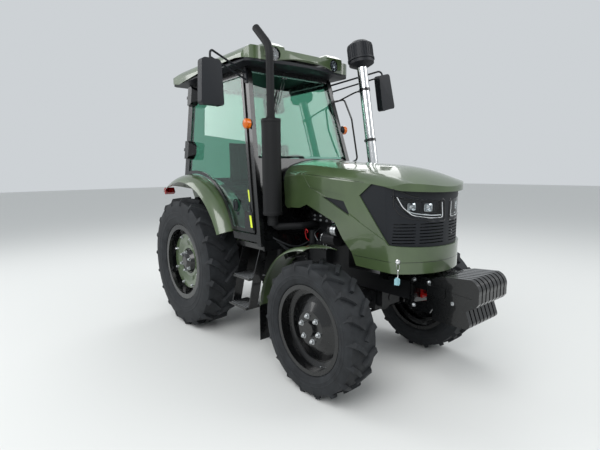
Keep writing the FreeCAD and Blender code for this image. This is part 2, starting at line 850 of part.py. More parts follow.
def hood():
    side_outline = [
        (hood_rear, 1800),
        (hood_rear, 1560),
        (1214, 1380),
        (1226, 1322, 1290, 1318),
        (1420, 1320),
        (1520, 1356),
        (1882, 1236),
        (1968, 1120),
        (2066, 1028),
        (2110, 934),
        (2800, 926),
        (2800, 1800),
    ]
    outline = prism_along_y(side_outline, -600, 600)
    outer = hood_body(0.0)
    inner = hood_body(hood_sheet)
    # A belt runs down from the rear and round below the mask.
    belt = [
        (1452, 1620),
        (1475, 1592),
        (1567, 1493),
        (1800, 1416, 2062, 1303),
        (2434, 1130),
        (2800, 1092),
        (2800, 860),
        (1300, 860),
        (1300, 1620),
    ]
    mask_outline = [
        (2148, 1458),
        (2268, 1543),
        (2400, 1524),
        (2500, 1500),
        (2800, 1470),
        (2800, 1094),
        (2411, 1126),
    ]
    # The sides above the belt and in front of the vent stand out a little too.
    brow = [
        (1475, 1594),
        (1560, 1500),
        (1985, 1454),
        (2161, 1250),
        (2405, 1136),
        (2148, 1458),
        (2268, 1543),
        (2400, 1524),
        (2500, 1500),
        (2800, 1470),
        (2800, 1800),
        (hood_rear, 1800),
        (hood_rear, 1620),
    ]
    solid = outer
    for rise, region in ((hood_rise, belt), (brow_rise, brow)):
        solid = solid.fuse(hood_body(-rise).common(prism_along_y(region, -600, 600)))
    shell = solid.cut(inner).common(outline)
    shell = shell.cut(prism_along_y(mask_outline, -600, 600))
    vent_outline = [
        (1726, 1432),
        (1975, 1408),
        (2047, 1298),
    ]
    shell = shell.cut(prism_along_y(vent_outline, -600, 600))
    # Hinge ears inside the rear edge.
    ears = []
    for side in (1, -1):
        y = side * hood_hinge_y
        ears.append(prism_along_y([
            (hood_hinge_x - 14, hood_hinge_z - 14),
            (hood_hinge_x + 60, hood_hinge_z - 14),
            (hood_hinge_x + 90, 1718),
            (hood_hinge_x - 14, 1718),
        ], y - 8, y + 8).common(outer))
    shell = fused([shell] + ears)
    for side in (1, -1):
        y = side * hood_hinge_y
        pin = rod((hood_hinge_x, y - 30, hood_hinge_z), (hood_hinge_x, y + 30, hood_hinge_z), 6 + running_fit)
        shell = shell.cut(pin)
    nodes["hood_shell"] = shell

    # The mask fills the front opening from behind the skin, up to the floor of the cap.
    mask_inset = hood_sheet + seat_gap
    mask = hood_body(mask_inset).cut(hood_body(mask_inset + mask_sheet))
    mask = mask.common(grown_prism_along_y(mask_outline, mask_overlap, -600, 600))
    mask = mask.cut(above_cap_edge(-brow_rise - seat_gap).common(block(mask_corner - 60, 2800, -600, 600, 1400, 1800)))
    # Slots across the lower face, in two fields on each side.
    slots = []
    for low_y, high_y in ((34, 232), (258, 372)):
        for step in range(7):
            z = 1136 + step * slat_pitch
            for side in (1, -1):
                ends = sorted((side * low_y, side * high_y))
                slots.append(block(mask_corner - 20, 2800, ends[0], ends[1], z, z + slat_gap))
    mask = mask.cut(slots)
    lamp_outline = [
        (58, 1424),
        (44, 1300),
        (170, 1302),
        (292, 1324),
        (350, 1374),
        (388, 1464),
        (272, 1444),
    ]
    lamps = []
    front = hood_body(mask_inset)
    lens = front.cut(front.translated(Vector(-lamp_depth, 0, 0)))
    for side in (1, -1):
        face = outline_face([(side * y, z) for y, z in lamp_outline], lambda y, z: Vector(2330, y, z))
        mask = mask.cut(face.extrude(Vector(500, 0, 0)))
        lamps.append(lens.common(face.makeOffset2D(-seat_gap).extrude(Vector(500, 0, 0))))
    nodes["hood_mask"] = mask
    nodes["headlamps"] = Part.makeCompound(lamps)
    vent = hood_body(mask_inset).cut(hood_body(mask_inset + 5))
    nodes["hood_vents"] = vent.common(grown_prism_along_y(vent_outline, mask_overlap, -600, 600))


def wheel_arch(gap):
    # What the left rear fender covers, grown by a gap, to trim what seats on it.
    return turned_about_y([
        (fender_wall_y - gap, 0.0),
        (fender_wall_y - gap, fender_inner_radius - fender_crown_drop + gap),
        (fender_inner_y - 60, fender_inner_radius - 10 + gap),
        (fender_inner_y, fender_inner_radius + gap),
        (fender_inner_y + 4, fender_inner_radius + gap + 4),
        (fender_outer_y, fender_inner_radius + gap + 4),
        (fender_outer_y, 0.0),
    ], 0.0, rear_tyre_radius)


def cab_tub():
    # Floor, seat platform, wall below the windscreen and rear wall, as pressed panels.
    front_x = pillar_x(cab_floor) - cowl_setback - wall_sheet / 2
    narrow = fender_wall_y - 4
    riser_x = seat_riser_front - wall_sheet
    pieces = [
        prism_along_z([
            (riser_x, -narrow),
            (riser_x, narrow),
            (800, narrow),
            (800, 610),
            (front_x, 610),
            (front_x, -610),
            (800, -610),
            (800, -narrow),
        ], cab_floor - platform_sheet, cab_floor),
        block(riser_x, seat_riser_front, -narrow, narrow, cab_floor - platform_sheet, cab_deck),
        block(cab_rear, seat_riser_front, -narrow, narrow, cab_deck - wall_sheet, cab_deck),
        prism_along_x([
            (-narrow, cab_deck - wall_sheet),
            (-narrow, 1500),
            (-560, 1560),
            (560, 1560),
            (narrow, 1500),
            (narrow, cab_deck - wall_sheet),
        ], cab_rear, cab_rear + wall_sheet),
        front_wall(cab_floor - platform_sheet, windscreen_bottom - 20, cowl_setback, wall_sheet,
                   pillar_depth + seat_gap),
    ]
    # Ears and pins that carry the hood at its rear edge.
    for side in (1, -1):
        y = side * hood_hinge_y
        for offset in (-18, 18):
            x_wall = pillar_x(hood_hinge_z + 14) - cowl_setback - 4
            pieces.append(prism_along_y([
                (x_wall, hood_hinge_z - 24),
                (hood_hinge_x + 12, hood_hinge_z - 12),
                (hood_hinge_x + 12, hood_hinge_z + 12),
                (x_wall, hood_hinge_z + 14),
            ], y + offset - 4, y + offset + 4))
        pieces.append(rod((hood_hinge_x, y - 20, hood_hinge_z), (hood_hinge_x, y + 20, hood_hinge_z), 6.0))
    tub = fused(pieces)
    arch = wheel_arch(seat_gap)
    nodes["cab_tub"] = tub.cut([arch, mirrored(arch)])


def hinge_point(z, shift=0.0):
    # A point on the left door's hinge axis, which leans with the side of the cab.
    return (door_hinge_x, side_y(z) + door_hinge_out + shift, z)


def cab_frame():
    # Four posts, the sills under the doors, the rails around the top and the doors' hinge pins.
    depth = pillar_depth
    low = cab_floor
    rear_low = 1500.0
    rear_front = cab_rear + rear_post_width
    pieces = [
        leaning_block(
            (pillar_x(low) - pillar_width, pillar_x(low), side_y(low) - depth, side_y(low), low),
            (pillar_x(cab_top) - pillar_width, pillar_x(cab_top), side_y(cab_top) - depth, side_y(cab_top), cab_top)),
        leaning_block(
            (cab_rear, rear_front, side_y(rear_low) - depth, side_y(rear_low), rear_low),
            (cab_rear, rear_front, side_y(cab_top) - depth, side_y(cab_top), cab_top)),
        side_slab(cab_top - 45, cab_top, -depth, 0, cab_rear, pillar_x(cab_top) - 4),
        side_slab(1030, 1094, -depth, 0, 700, pillar_x(1094) - 4),
    ]
    for z in door_hinge_heights:
        pieces.append(leaning_block(
            (cab_rear + 8, door_hinge_x, side_y(z) - 4, side_y(z) + door_hinge_out + 6, z + 4),
            (cab_rear + 8, door_hinge_x, side_y(z + 36) - 4, side_y(z + 36) + door_hinge_out + 6, z + 36)))
        pieces.append(rod(hinge_point(z + 3), hinge_point(z + 37), hinge_barrel_radius))
        pieces.append(rod(hinge_point(z - 26), hinge_point(z + 30), hinge_pin_radius))
    left = fused(pieces).cut(wheel_arch(seat_gap))
    half = cab_top_half - 4
    cross = [
        block(cab_rear, cab_rear + 50, -half, half, cab_top - 45, cab_top),
        block(cab_top_front - 50, cab_top_front + 4, -half, half, cab_top - 45, cab_top),
    ]
    nodes["cab_frame"] = fused([left, mirrored(left)] + cross)

    windscreen = front_wall(windscreen_bottom, windscreen_top, glass_setback, glass_sheet, depth + seat_gap)
    rows = []
    for z in (1560.0 + seat_gap, cab_top - 45 - seat_gap):
        half = side_y(z) - depth - 2
        rows.append((cab_rear + 8, cab_rear + 8 + glass_sheet, -half, half, z))
    arch = wheel_arch(seat_gap)
    nodes["cab_glass"] = Part.makeCompound([windscreen, leaning_block(*rows).cut([arch, mirrored(arch)])])


def door_outline(margin):
    # The door in side view: straight front edge on the pillar, lower rear edge on a circle around the axle.
    top = door_top - margin
    bottom = door_bottom + margin
    radius = door_arc_radius + margin
    rear = door_rear + margin
    front_top = pillar_x(top) - pillar_width - door_gap - margin * 1.03
    front_low = pillar_x(bottom) - pillar_width - door_gap - margin * 1.03
    axle = rear_tyre_radius
    arc_front = math.sqrt(radius ** 2 - (bottom - axle) ** 2)
    arc_rear = axle + math.sqrt(radius ** 2 - rear ** 2)
    middle = math.radians(40)
    return [
        (rear, top),
        (front_top, top),
        (front_low, bottom),
        (arc_front, bottom),
        (radius * math.sin(middle), axle + radius * math.cos(middle), rear, arc_rear),
    ]


def door():
    # The left door: a frame with its hinge barrels and lock panel, and the glass inside it.
    half = door_sheet / 2
    full = prism_along_y(door_outline(0.0), 300, 900).common(side_slab(1000, 2600, -half, half))
    frame = full.cut(prism_along_y(door_outline(door_frame_width), 300, 900))
    thin = side_slab(1000, 2600, -glass_sheet / 2, glass_sheet / 2)
    glass = prism_along_y(door_outline(door_frame_width + seat_gap), 300, 900).common(thin)
    lock_low = door_bottom + door_frame_width - 10
    lock_high = 1285.0
    front_low, front_high = [pillar_x(z) - pillar_width - door_gap - 10 for z in (lock_low, lock_high)]
    lock_outline = [
        (front_low - 130, lock_low),
        (front_low, lock_low),
        (front_high, lock_high),
        (front_high - 115, lock_high),
    ]
    lock = prism_along_y(lock_outline, 300, 900).common(side_slab(1000, 2600, -half, half + 6))
    pieces = [frame, lock]
    for z in door_hinge_heights:
        pieces.append(leaning_block(
            (door_hinge_x, door_rear + 90, side_y(z - 34) + half - 2, side_y(z - 34) + door_hinge_out + 6, z - 34),
            (door_hinge_x, door_rear + 90, side_y(z - 2) + half - 2, side_y(z - 2) + door_hinge_out + 6, z - 2)))
        pieces.append(rod(hinge_point(z - 35), hinge_point(z - 1), hinge_barrel_radius))
        # A moulded cover stands over the strap, clear of the post when the door is open.
        rear = door_hinge_x + 16
        front = door_hinge_x + hinge_cover_length
        face = door_hinge_out + hinge_cover_out
        cover = prism_along_z([
            (rear, half + 1),
            (rear, door_hinge_out + 6),
            (rear + 74, face),
            (front - 30, face),
            (front, half + 1),
        ], -hinge_cover_half, hinge_cover_half)
        cover = cover.common(prism_along_y([
            (rear, -hinge_cover_half + 30),
            (rear + 30, -hinge_cover_half),
            (front - 50, -hinge_cover_half),
            (front, -hinge_cover_half + 50),
            (front, hinge_cover_half - 50),
            (front - 50, hinge_cover_half),
            (rear + 30, hinge_cover_half),
            (rear, hinge_cover_half - 30),
        ], 0, 200))
        cover.rotate(Vector(0, 0, 0), Vector(1, 0, 0), math.degrees(math.atan(side_lean)))
        cover.translate(Vector(0, side_y(z), z))
        pieces.append(cover)
    shape = fused(pieces)
    for z in door_hinge_heights:
        shape = shape.cut(rod(hinge_point(z - 27), hinge_point(z + 10), hinge_pin_radius + running_fit))
    return shape, glass.cut(frame).cut(lock)


def rear_fender():
    # A bent sheet turned about the rear axle: inner wall, crown and the rounded outer edge.
    t = fender_sheet
    sheet = turned_about_y([
        (fender_wall_y, fender_wall_radius),
        (fender_wall_y, fender_inner_radius - fender_crown_drop),
        (fender_inner_y - 60, fender_inner_radius - 10),
        (fender_inner_y, fender_inner_radius),
        (fender_inner_y + 90, fender_inner_radius - 4, fender_outer_y, fender_outer_radius),
        (fender_outer_y - t, fender_outer_radius),
        (fender_inner_y + 88, fender_inner_radius - 4 - t, fender_inner_y, fender_inner_radius - t),
        (fender_inner_y - 60, fender_inner_radius - 10 - t),
        (fender_wall_y + t, fender_inner_radius - fender_crown_drop - t),
        (fender_wall_y + t, fender_wall_radius),
    ], 0.0, rear_tyre_radius, fender_start, fender_end - fender_start)
    nodes["rear_fenders"] = both_sides(sheet)


def roof_solid(inset):
    side_profile = [
        (roof_rear + inset, roof_low + 20),
        (roof_rear + inset + 10, roof_low + 70 - inset),
        (350, roof_high - inset, roof_front - inset - 20, roof_high - 52 - inset),
        (roof_front - inset, roof_high - 110),
        (roof_front - inset - 40, roof_low + 10),
        (900, roof_low + 34),
        (300, roof_low + 34),
        (-250, roof_low - 12),
    ]
    half = roof_half - inset
    front_profile = [
        (-half, roof_low - 40),
        (half, roof_low - 40),
        (half, roof_low + 50),
        (half - 30, roof_low + 105 - inset, half - 120, roof_high - 34 - inset),
        (0, roof_high - inset, -half + 120, roof_high - 34 - inset),
        (-half + 30, roof_low + 105 - inset, -half, roof_low + 50),
    ]
    plan = [
        (roof_rear + inset, -half + 90),
        (roof_rear + inset + 20, -half + 30, roof_rear + inset + 90, -half),
        (roof_front - 260, -half),
        (roof_front - 90, -half + 40, roof_front - 60 - inset, -half + 150),
        (roof_front - inset, 0, roof_front - 60 - inset, half - 150),
        (roof_front - 90, half - 40, roof_front - 260, half),
        (roof_rear + inset + 90, half),
        (roof_rear + inset + 20, half - 30, roof_rear + inset, half - 90),
    ]
    solid = prism_along_y(side_profile, -700, 700)
    solid = solid.common(prism_along_x(front_profile, -500, 1200))
    return solid.common(prism_along_z(plan, 2500, 2800))


def roof():
    outer = roof_solid(0.0)
    inner = roof_solid(roof_sheet)
    inner = inner.fuse(inner.translated(Vector(0, 0, -30)))
    pods = []
    lamps = []
    for side in (1, -1):
        y = side * roof_lamp_y
        pod = prism_along_x([
            (y - 105, roof_low + 40),
            (y + 105, roof_low + 40),
            (y + 105, roof_high - 50),
            (y, roof_high + 22, y - 105, roof_high - 50),
        ], 640, 1132)
        pod = pod.common(prism_along_y([
            (640, roof_high - 60),
            (900, roof_high + 4),
            (1080, roof_high + 2),
            (1128, roof_high - 30),
            (1110, roof_low + 18),
            (640, roof_low + 40),
        ], y - 110, y + 110))
        pods.append(pod)
        lamps.append(rod((roof_lamp_rear, y, roof_lamp_z), (roof_lamp_front, y, roof_lamp_z), roof_lamp_radius))
    shell = outer.fuse(pods).cut(inner)
    # The liner closes the roof from below, inside its skin.
    liner = roof_solid(roof_sheet + seat_gap)
    liner = liner.fuse(liner.translated(Vector(0, 0, -60)))
    liner = liner.common(block(-600, 1300, -700, 700, cab_top + seat_gap, liner_high))
    for side in (1, -1):
        y = side * roof_lamp_y
        pocket = rod((roof_lamp_rear - seat_gap, y, roof_lamp_z), (1300, y, roof_lamp_z), roof_lamp_radius + seat_gap)
        shell = shell.cut(pocket)
        liner = liner.cut(pocket)
    nodes["cab_roof"] = shell.removeSplitter()
    nodes["roof_liner"] = liner.removeSplitter()
    nodes["roof_lamps"] = Part.makeCompound(lamps)


def exhaust():
    x = exhaust_x
    y = exhaust_y
    muffler = rod((x, y, muffler_low), (x, y, muffler_high), muffler_radius)
    elbow = tube([
        (x, y, muffler_low + 5),
        (x, y, 1160),
        (engine_rear + 75, -320, 1160),
        (engine_rear + 75, -head_half - seat_gap, 1160),
    ], 30.0, 60.0)
    stack = tube([
        (x, y, muffler_high - 5),
        (x, y, 2650),
        (x - 190, y, 2838),
    ], stack_radius, 190.0)
    neck = rod((x, y, 1178), (x, y, muffler_low), 46.0)
    nodes["exhaust"] = fused([muffler, neck, elbow, stack])


def intake():
    top = Vector(intake_top[0], intake_y, intake_top[1])
    low = Vector(intake_low[0], intake_y, intake_low[1])
    axis = (low - top).normalize()
    foot = low + axis * 420
    nodes["intake_pipe"] = tube([
        tuple(top),
        tuple(foot),
        (foot.x + 20, 300, foot.z - 70),
        (foot.x + 20, head_half + seat_gap, foot.z - 70),
    ], intake_radius, 90.0)
    base = top - axis * seat_gap
    up = axis * -1
    bowl = Part.makeCone(intake_radius + 8, cleaner_radius, 34, base, up)
    can = Part.makeCylinder(cleaner_radius, cleaner_height - 66, base + up * 34, up)
    ring = Part.makeCylinder(cleaner_radius + 9, 14, base + up * 66, up)
    lid = Part.makeCone(cleaner_radius, cleaner_radius - 40, 32, base + up * (cleaner_height - 32), up)
    nodes["intake_cleaner"] = fused([bowl, can, ring, lid])

    # A handrail on the left front post, outside the pipe's line.
    points = []
    for z, ahead in ((2352, 24), (2352, 190), (2150, 225), (1745, 165), (1700, 24)):
        points.append((pillar_x(z) - pillar_width + ahead, side_y(z) + 10, z))
    nodes["handrail"] = tube(points, 9.0, 40.0)


def mirrors():
    # The left arm is swung further forward than the right one. Each row is the side, the head's centre
    # x and z, the head's lean and the arm's outer end.
    pieces = []
    for side, head_x, head_z, lean, arm_x, arm_z in (
            (-1, 1107.0, 2342.0, 0.0, 1100.0, 2600.0),
            (1, 1262.0, 2440.0, 14.0, 1222.0, 2668.0)):
        half = mirror_width / 2
        head = prism_along_x([
            (-half, -150),
            (-half + 8, -mirror_height / 2 + 6, -half + 40, -mirror_height / 2),
            (half - 40, -mirror_height / 2),
            (half - 8, -mirror_height / 2 + 6, half, -150),
            (half - 14, 140),
            (half - 24, mirror_height / 2 - 10, half - 52, mirror_height / 2),
            (-half + 52, mirror_height / 2),
            (-half + 24, mirror_height / 2 - 10, -half + 14, 140),
        ], -mirror_depth / 2, mirror_depth / 2)
        head.rotate(Vector(0, 0, 0), Vector(1, 0, 0), lean)
        reach = head.BoundBox.YMax
        head.translate(Vector(head_x, side * (mirror_reach - reach), head_z))
        arm_y = side * (mirror_reach - reach - 10)
        rows = []
        for z in (2425.0, 2560.0):
            inner_y = side * (side_y(z) + seat_gap)
            outer_y = side * (side_y(z) + 16)
            rows.append((pillar_x(z) - 46, pillar_x(z) - 6, min(inner_y, outer_y), max(inner_y, outer_y), z))
        arms = [
            leaning_block(*rows),
            tube([
                (pillar_x(2515) - 24, side * (side_y(2515) + 8), 2515),
                (arm_x, arm_y, arm_z),
                (head_x, arm_y + side * 8, head_z + 120),
            ], 9.0, 36.0),
            rod((pillar_x(2450) - 24, side * (side_y(2450) + 8), 2450), (arm_x, arm_y, arm_z - 62), 8.0),
        ]
        pieces.append(fused([head] + arms))
    nodes["mirrors"] = Part.makeCompound(pieces)


def lamps():
    z = 2050.0
    foot = Vector(pillar_x(z) - 16, side_y(z) + seat_gap, z)
    out = Vector(0, 1, side_lean).normalize()
    nodes["signal_lamps"] = both_sides(Part.makeCylinder(41, 62, foot, out))
    tail = block(-44, -seat_gap, fender_inner_y + 40, fender_outer_y - 36, rear_tyre_radius + 842, rear_tyre_radius + 905)
    tail.rotate(Vector(0, 0, rear_tyre_radius), Vector(0, 1, 0), fender_start)
    nodes["tail_lamps"] = both_sides(tail)


def steps():
    treads = []
    for x0, x1, y0, y1, z in ((835.0, 1120.0, 490.0, 690.0, 690.0), (835.0, 1120.0, 530.0, 730.0, 430.0)):
        treads.append(block(x0, x1, y0, y1, z - 18, z))
    hangers = []
    for x in (835.0, 1108.0):
        hangers.append(prism_along_x([
            (470, 955),
            (560, 955),
            (640, 700),
            (700, 412),
            (610, 412),
            (560, 640),
        ], x, x + 12))
    left = fused(treads + hangers)
    nodes["cab_steps"] = both_sides(left)


def cab_inside():
    seat_x = 250.0
    nodes["seat_base"] = fused([
        block(seat_x - 170, seat_x + 170, -150, 150, cab_deck + seat_gap, 1370),
        block(seat_x - 215, seat_x + 215, -215, 215, 1370, 1392),
        block(seat_x - 270, seat_x - 230, -60, 60, 1372, 1700),
        block(seat_x - 270, seat_x - 200, -60, 60, 1372, 1392),
    ])
    cushion = block(seat_x - 205, seat_x + 235, -235, 235, 1392 + seat_gap, 1480)
    back = prism_along_y([
        (seat_x - 230 + seat_gap, 1500),
        (seat_x - 130, 1496),
        (seat_x - 180, 1940),
        (seat_x - 230 + seat_gap, 1980),
    ], -225, 225)
    nodes["seat_pads"] = Part.makeCompound([cushion.makeFillet(30, cushion.Edges), back])
    wheel_x = 790.0
    wheel_z = 1690.0
    tilt = Vector(math.sin(math.radians(-28)), 0, math.cos(math.radians(28)))
    centre = Vector(wheel_x, 0, wheel_z)
    rim = Part.makeTorus(190, 15, centre, tilt)
    spokes = [Part.makeCylinder(44, 26, centre - tilt * 26, tilt)]
    for step in range(3):
        spoke = block(-12, 12, 20, 188, -9, 9)
        spoke.rotate(Vector(0, 0, 0), Vector(0, 0, 1), 60 + 120 * step)
        spoke.rotate(Vector(0, 0, 0), Vector(0, 1, 0), -28)
        spoke.translate(centre - tilt * 8)
        spokes.append(spoke)
    column_foot = centre - tilt * 430
    column = Part.makeCylinder(30, 410, column_foot, tilt)
    console = prism_along_y([
        (930, cab_floor + seat_gap),
        (pillar_x(cab_floor) - cowl_setback - wall_sheet - seat_gap, cab_floor + seat_gap),
        (pillar_x(1700) - cowl_setback - wall_sheet - seat_gap, 1700),
        (900, 1640),
        (860, 1560),
    ], -170, 170)
    nodes["dash_console"] = fused([console, column, rim] + spokes)


def hitch():
    x = hitch_pivot_x
    arm = lift_arm_length
    pin = link_pin_radius
    rod_x = x - arm
    rod_y = link_front_y + (link_rear_y - link_front_y) * arm / lower_link_length
    # Rockshaft housing, lower link brackets, top link bracket and power take-off shaft.
    deck = transmission_top + 90
    pieces = [
        block(x - 20, 40, -150, 150, deck, deck + 85),
        block(x - 20, hitch_face, -150, 150, 560, deck + 60),
        rod((x, -190, rockshaft_z), (x, 190, rockshaft_z), 62.0),
        rod((x - 120, 0, 640), (x, 0, 640), 17.5),
        block(x - 95, x - 20, -45, -25, 850, 930),
        block(x - 95, x - 20, 25, 45, 850, 930),
    ]
    for side in (1, -1):
        pieces.append(rod((x, side * 145, lower_pivot_z), (x, side * (link_front_y + 22), lower_pivot_z), pin))
        inner_y = min(side * 140, side * 190)
        outer_y = max(side * 140, side * 190)
        pieces.append(block(x - 30, hitch_face, inner_y, outer_y, 460, 640))
    housing = fused(pieces)
    housing = housing.cut(rod((x, -300, rockshaft_z), (x, 300, rockshaft_z), rockshaft_radius + running_fit))
    housing = housing.cut(rod((x - 65, -60, 890), (x - 65, 60, 890), top_link_bore))
    nodes["hitch_frame"] = housing

    # The drawbar is carried under the transmission.
    drawbar = prism_along_z([
        (200, -35),
        (200, 35),
        (x - 330, 35),
        (x - 365, 0, x - 330, -35),
    ], 395, 425)
    hanger_top = transmission_bottom + 10 * (1 - (160 - hitch_face) / (bell_rear - hitch_face)) - seat_gap
    drawbar = fused([drawbar, block(-60, 160, -90, 90, 395, hanger_top)])
    nodes["drawbar"] = drawbar.cut(rod((x - 320, 0, 380), (x - 320, 0, 440), drawbar_pin_radius))

    arms = [rod((x, -rod_y, rockshaft_z), (x, rod_y, rockshaft_z), rockshaft_radius)]
    for side in (1, -1):
        y = side * (rod_y - 26)
        arms.append(prism_along_y([
            (x + 52, rockshaft_z),
            (x, rockshaft_z + 52, x - 40, rockshaft_z + 42),
            (rod_x, rockshaft_z + 24),
            (rod_x - 24, rockshaft_z, rod_x, rockshaft_z - 24),
            (x - 40, rockshaft_z - 42),
            (x, rockshaft_z - 52),
        ], y - 12, y + 12))
        arms.append(rod((rod_x, y, rockshaft_z), (rod_x, side * (rod_y + 14), rockshaft_z), pin))
    nodes["lift_arms"] = fused(arms)

    rods = []
    for side in (1, -1):
        y = side * rod_y
        piece = fused([
            rod((rod_x, y, lower_pivot_z), (rod_x, y, rockshaft_z), 14.0),
            rod((rod_x, y, lower_pivot_z + 90), (rod_x, y, rockshaft_z - 150), 22.0),
            rod((rod_x, y - 10, rockshaft_z), (rod_x, y + 10, rockshaft_z), 30.0),
            rod((rod_x, y - 10, lower_pivot_z), (rod_x, y + 10, lower_pivot_z), 34.0),
        ])
        piece = piece.cut(rod((rod_x, y - 40, rockshaft_z), (rod_x, y + 40, rockshaft_z), pin + running_fit))
        piece = piece.cut(rod((rod_x, y - 40, lower_pivot_z), (rod_x, y + 40, lower_pivot_z), pin + pin_gap))
        rods.append(piece)
    nodes["lift_rods"] = Part.makeCompound(rods)

    links = []
    end_x = x - lower_link_length
    for side in (1, -1):
        front_y = side * link_front_y
        rear_y = side * link_rear_y
        pin_y = side * rod_y
        bar = prism_along_z([
            (x - 40, front_y - 9),
            (x - 40, front_y + 9),
            (end_x + 40, rear_y + 9),
            (end_x + 40, rear_y - 9),
        ], lower_pivot_z - 32, lower_pivot_z + 32)
        window = block(rod_x - 44, rod_x + 44, pin_y - 17, pin_y + 17, lower_pivot_z - 60, lower_pivot_z + 60)
        cheek = block(rod_x - 60, rod_x + 60, pin_y - 25, pin_y + 25, lower_pivot_z - 30, lower_pivot_z + 30)
        bar = fused([
            bar,
            cheek,
            rod((x, front_y - 14, lower_pivot_z), (x, front_y + 14, lower_pivot_z), link_eye_radius),
            rod((end_x, rear_y - 17, lower_pivot_z), (end_x, rear_y + 17, lower_pivot_z), link_eye_radius),
        ])
        bar = bar.cut(window)
        bar = bar.cut(rod((x, front_y - 40, lower_pivot_z), (x, front_y + 40, lower_pivot_z), pin + running_fit))
        bar = bar.cut(rod((end_x, rear_y - 40, lower_pivot_z), (end_x, rear_y + 40, lower_pivot_z), link_ball_bore))
        bar = fused([bar, rod((rod_x, pin_y - 22, lower_pivot_z), (rod_x, pin_y + 22, lower_pivot_z), pin)])
        links.append(bar)
    nodes["lower_links"] = Part.makeCompound(links)


def build():
    axle_parts()
    driveline()
    weights()
    hood()
    cab_tub()
    cab_frame()
    rear_fender()
    roof()
    exhaust()
    intake()
    mirrors()
    lamps()
    steps()
    cab_inside()
    hitch()
    rear_tyre, rear_rim, rear_disc = rear_wheel()
    front_tyre, front_rim = front_wheel()
    sheet, flap = front_fender()
    door_frame, door_glass = door()
    left_pieces = {
        "tyre_rear": rear_tyre,
        "rim_rear": rear_rim,
        "disc_rear": rear_disc,
        "tyre_front": front_tyre,
        "rim_front": front_rim,
        "knuckle": Part.makeCompound([knuckle(), flap]),
        "fender_front": sheet,
        "door_frame": door_frame,
        "door_glass": door_glass,
    }
    for name, shape in left_pieces.items():
        nodes[name + "_left"] = shape
        nodes[name + "_right"] = mirrored(shape)
    nodes["tie_rod"] = tie_rod()


build()
os.makedirs("parts", exist_ok=True)
for node_name, node_shape in nodes.items():
    node_shape.translated(frame_shift).exportStep("parts/" + node_name + ".step")
print(len(nodes), "nodes")
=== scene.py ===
import bpy
import bmesh
import math
from mathutils import Matrix, Vector
from mathutils.bvhtree import BVHTree


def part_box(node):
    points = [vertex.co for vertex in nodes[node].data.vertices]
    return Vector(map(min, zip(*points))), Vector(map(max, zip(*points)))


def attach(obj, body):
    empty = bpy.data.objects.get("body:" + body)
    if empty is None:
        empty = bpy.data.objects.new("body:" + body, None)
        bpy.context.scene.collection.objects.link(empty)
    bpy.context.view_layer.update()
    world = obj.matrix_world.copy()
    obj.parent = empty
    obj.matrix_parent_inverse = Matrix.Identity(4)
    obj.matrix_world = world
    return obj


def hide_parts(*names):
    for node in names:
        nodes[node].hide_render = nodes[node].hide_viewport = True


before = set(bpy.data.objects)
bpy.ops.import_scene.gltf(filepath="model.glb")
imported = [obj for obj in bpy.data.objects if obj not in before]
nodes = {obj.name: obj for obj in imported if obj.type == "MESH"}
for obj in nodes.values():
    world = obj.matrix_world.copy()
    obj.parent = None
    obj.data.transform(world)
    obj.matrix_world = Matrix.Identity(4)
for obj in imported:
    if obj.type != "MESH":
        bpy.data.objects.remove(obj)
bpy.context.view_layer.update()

print("frame loaded:", len(nodes), "nodes")


# Shared helpers

def srgb(hexText, alpha=1.0):
    # sRGB hex to the linear values that shaders take
    channels = [int(hexText[i:i + 2], 16) / 255 for i in (1, 3, 5)]
    linear = [c / 12.92 if c <= 0.04045 else ((c + 0.055) / 1.055) ** 2.4 for c in channels]
    return (*linear, alpha)


def addNode(tree, kind, settings=None, links=None):
    node = tree.nodes.new(kind)
    for name, value in (settings or {}).items():
        if isinstance(name, str) and hasattr(node, name):
            setattr(node, name, value)
        else:
            node.inputs[name].default_value = value
    for name, source in (links or {}).items():
        tree.links.new(source, node.inputs[name])
    return node


def newFinish(name, hexText, roughness, metallic=0.0, **shaderSettings):
    # A material with a Principled shader; returns the material, its tree and the shader
    material = bpy.data.materials.new(name)
    material.use_nodes = True
    tree = material.node_tree
    shader = tree.nodes["Principled BSDF"]
    shader.inputs["Base Color"].default_value = srgb(hexText)
    shader.inputs["Roughness"].default_value = roughness
    shader.inputs["Metallic"].default_value = metallic
    for socket, value in shaderSettings.items():
        shader.inputs[socket].default_value = value
    return material, tree, shader


def perMetre(millimetres):
    # Texture scale whose features are about this many millimetres apart
    return 1000.0 / millimetres


def addNoise(tree, millimetres, detail=3.0, roughness=0.5):
    place = addNode(tree, "ShaderNodeTexCoord")
    return addNode(tree, "ShaderNodeTexNoise",
                   {"Scale": perMetre(millimetres), "Detail": detail, "Roughness": roughness},
                   {"Vector": place.outputs["Object"]})


def addBump(tree, shader, height, millimetres, strength):
    bump = addNode(tree, "ShaderNodeBump", {"Strength": strength, "Distance": millimetres / 1000},
                   {"Height": height})
    tree.links.new(bump.outputs["Normal"], shader.inputs["Normal"])
    return bump


def tintBetween(tree, shader, factor, darkHex, lightHex, low=0.35, high=0.65, socket="Base Color"):
    ramp = addNode(tree, "ShaderNodeValToRGB", None, {"Fac": factor})
    ramp.color_ramp.elements[0].position = low
    ramp.color_ramp.elements[1].position = high
    ramp.color_ramp.elements[0].color = srgb(darkHex)
    ramp.color_ramp.elements[1].color = srgb(lightHex)
    tree.links.new(ramp.outputs["Color"], shader.inputs[socket])
    return ramp


def roughBetween(tree, shader, factor, low, high):
    spread = addNode(tree, "ShaderNodeMapRange", {"To Min": low, "To Max": high}, {"Value": factor})
    tree.links.new(spread.outputs["Result"], shader.inputs["Roughness"])


# Finishes

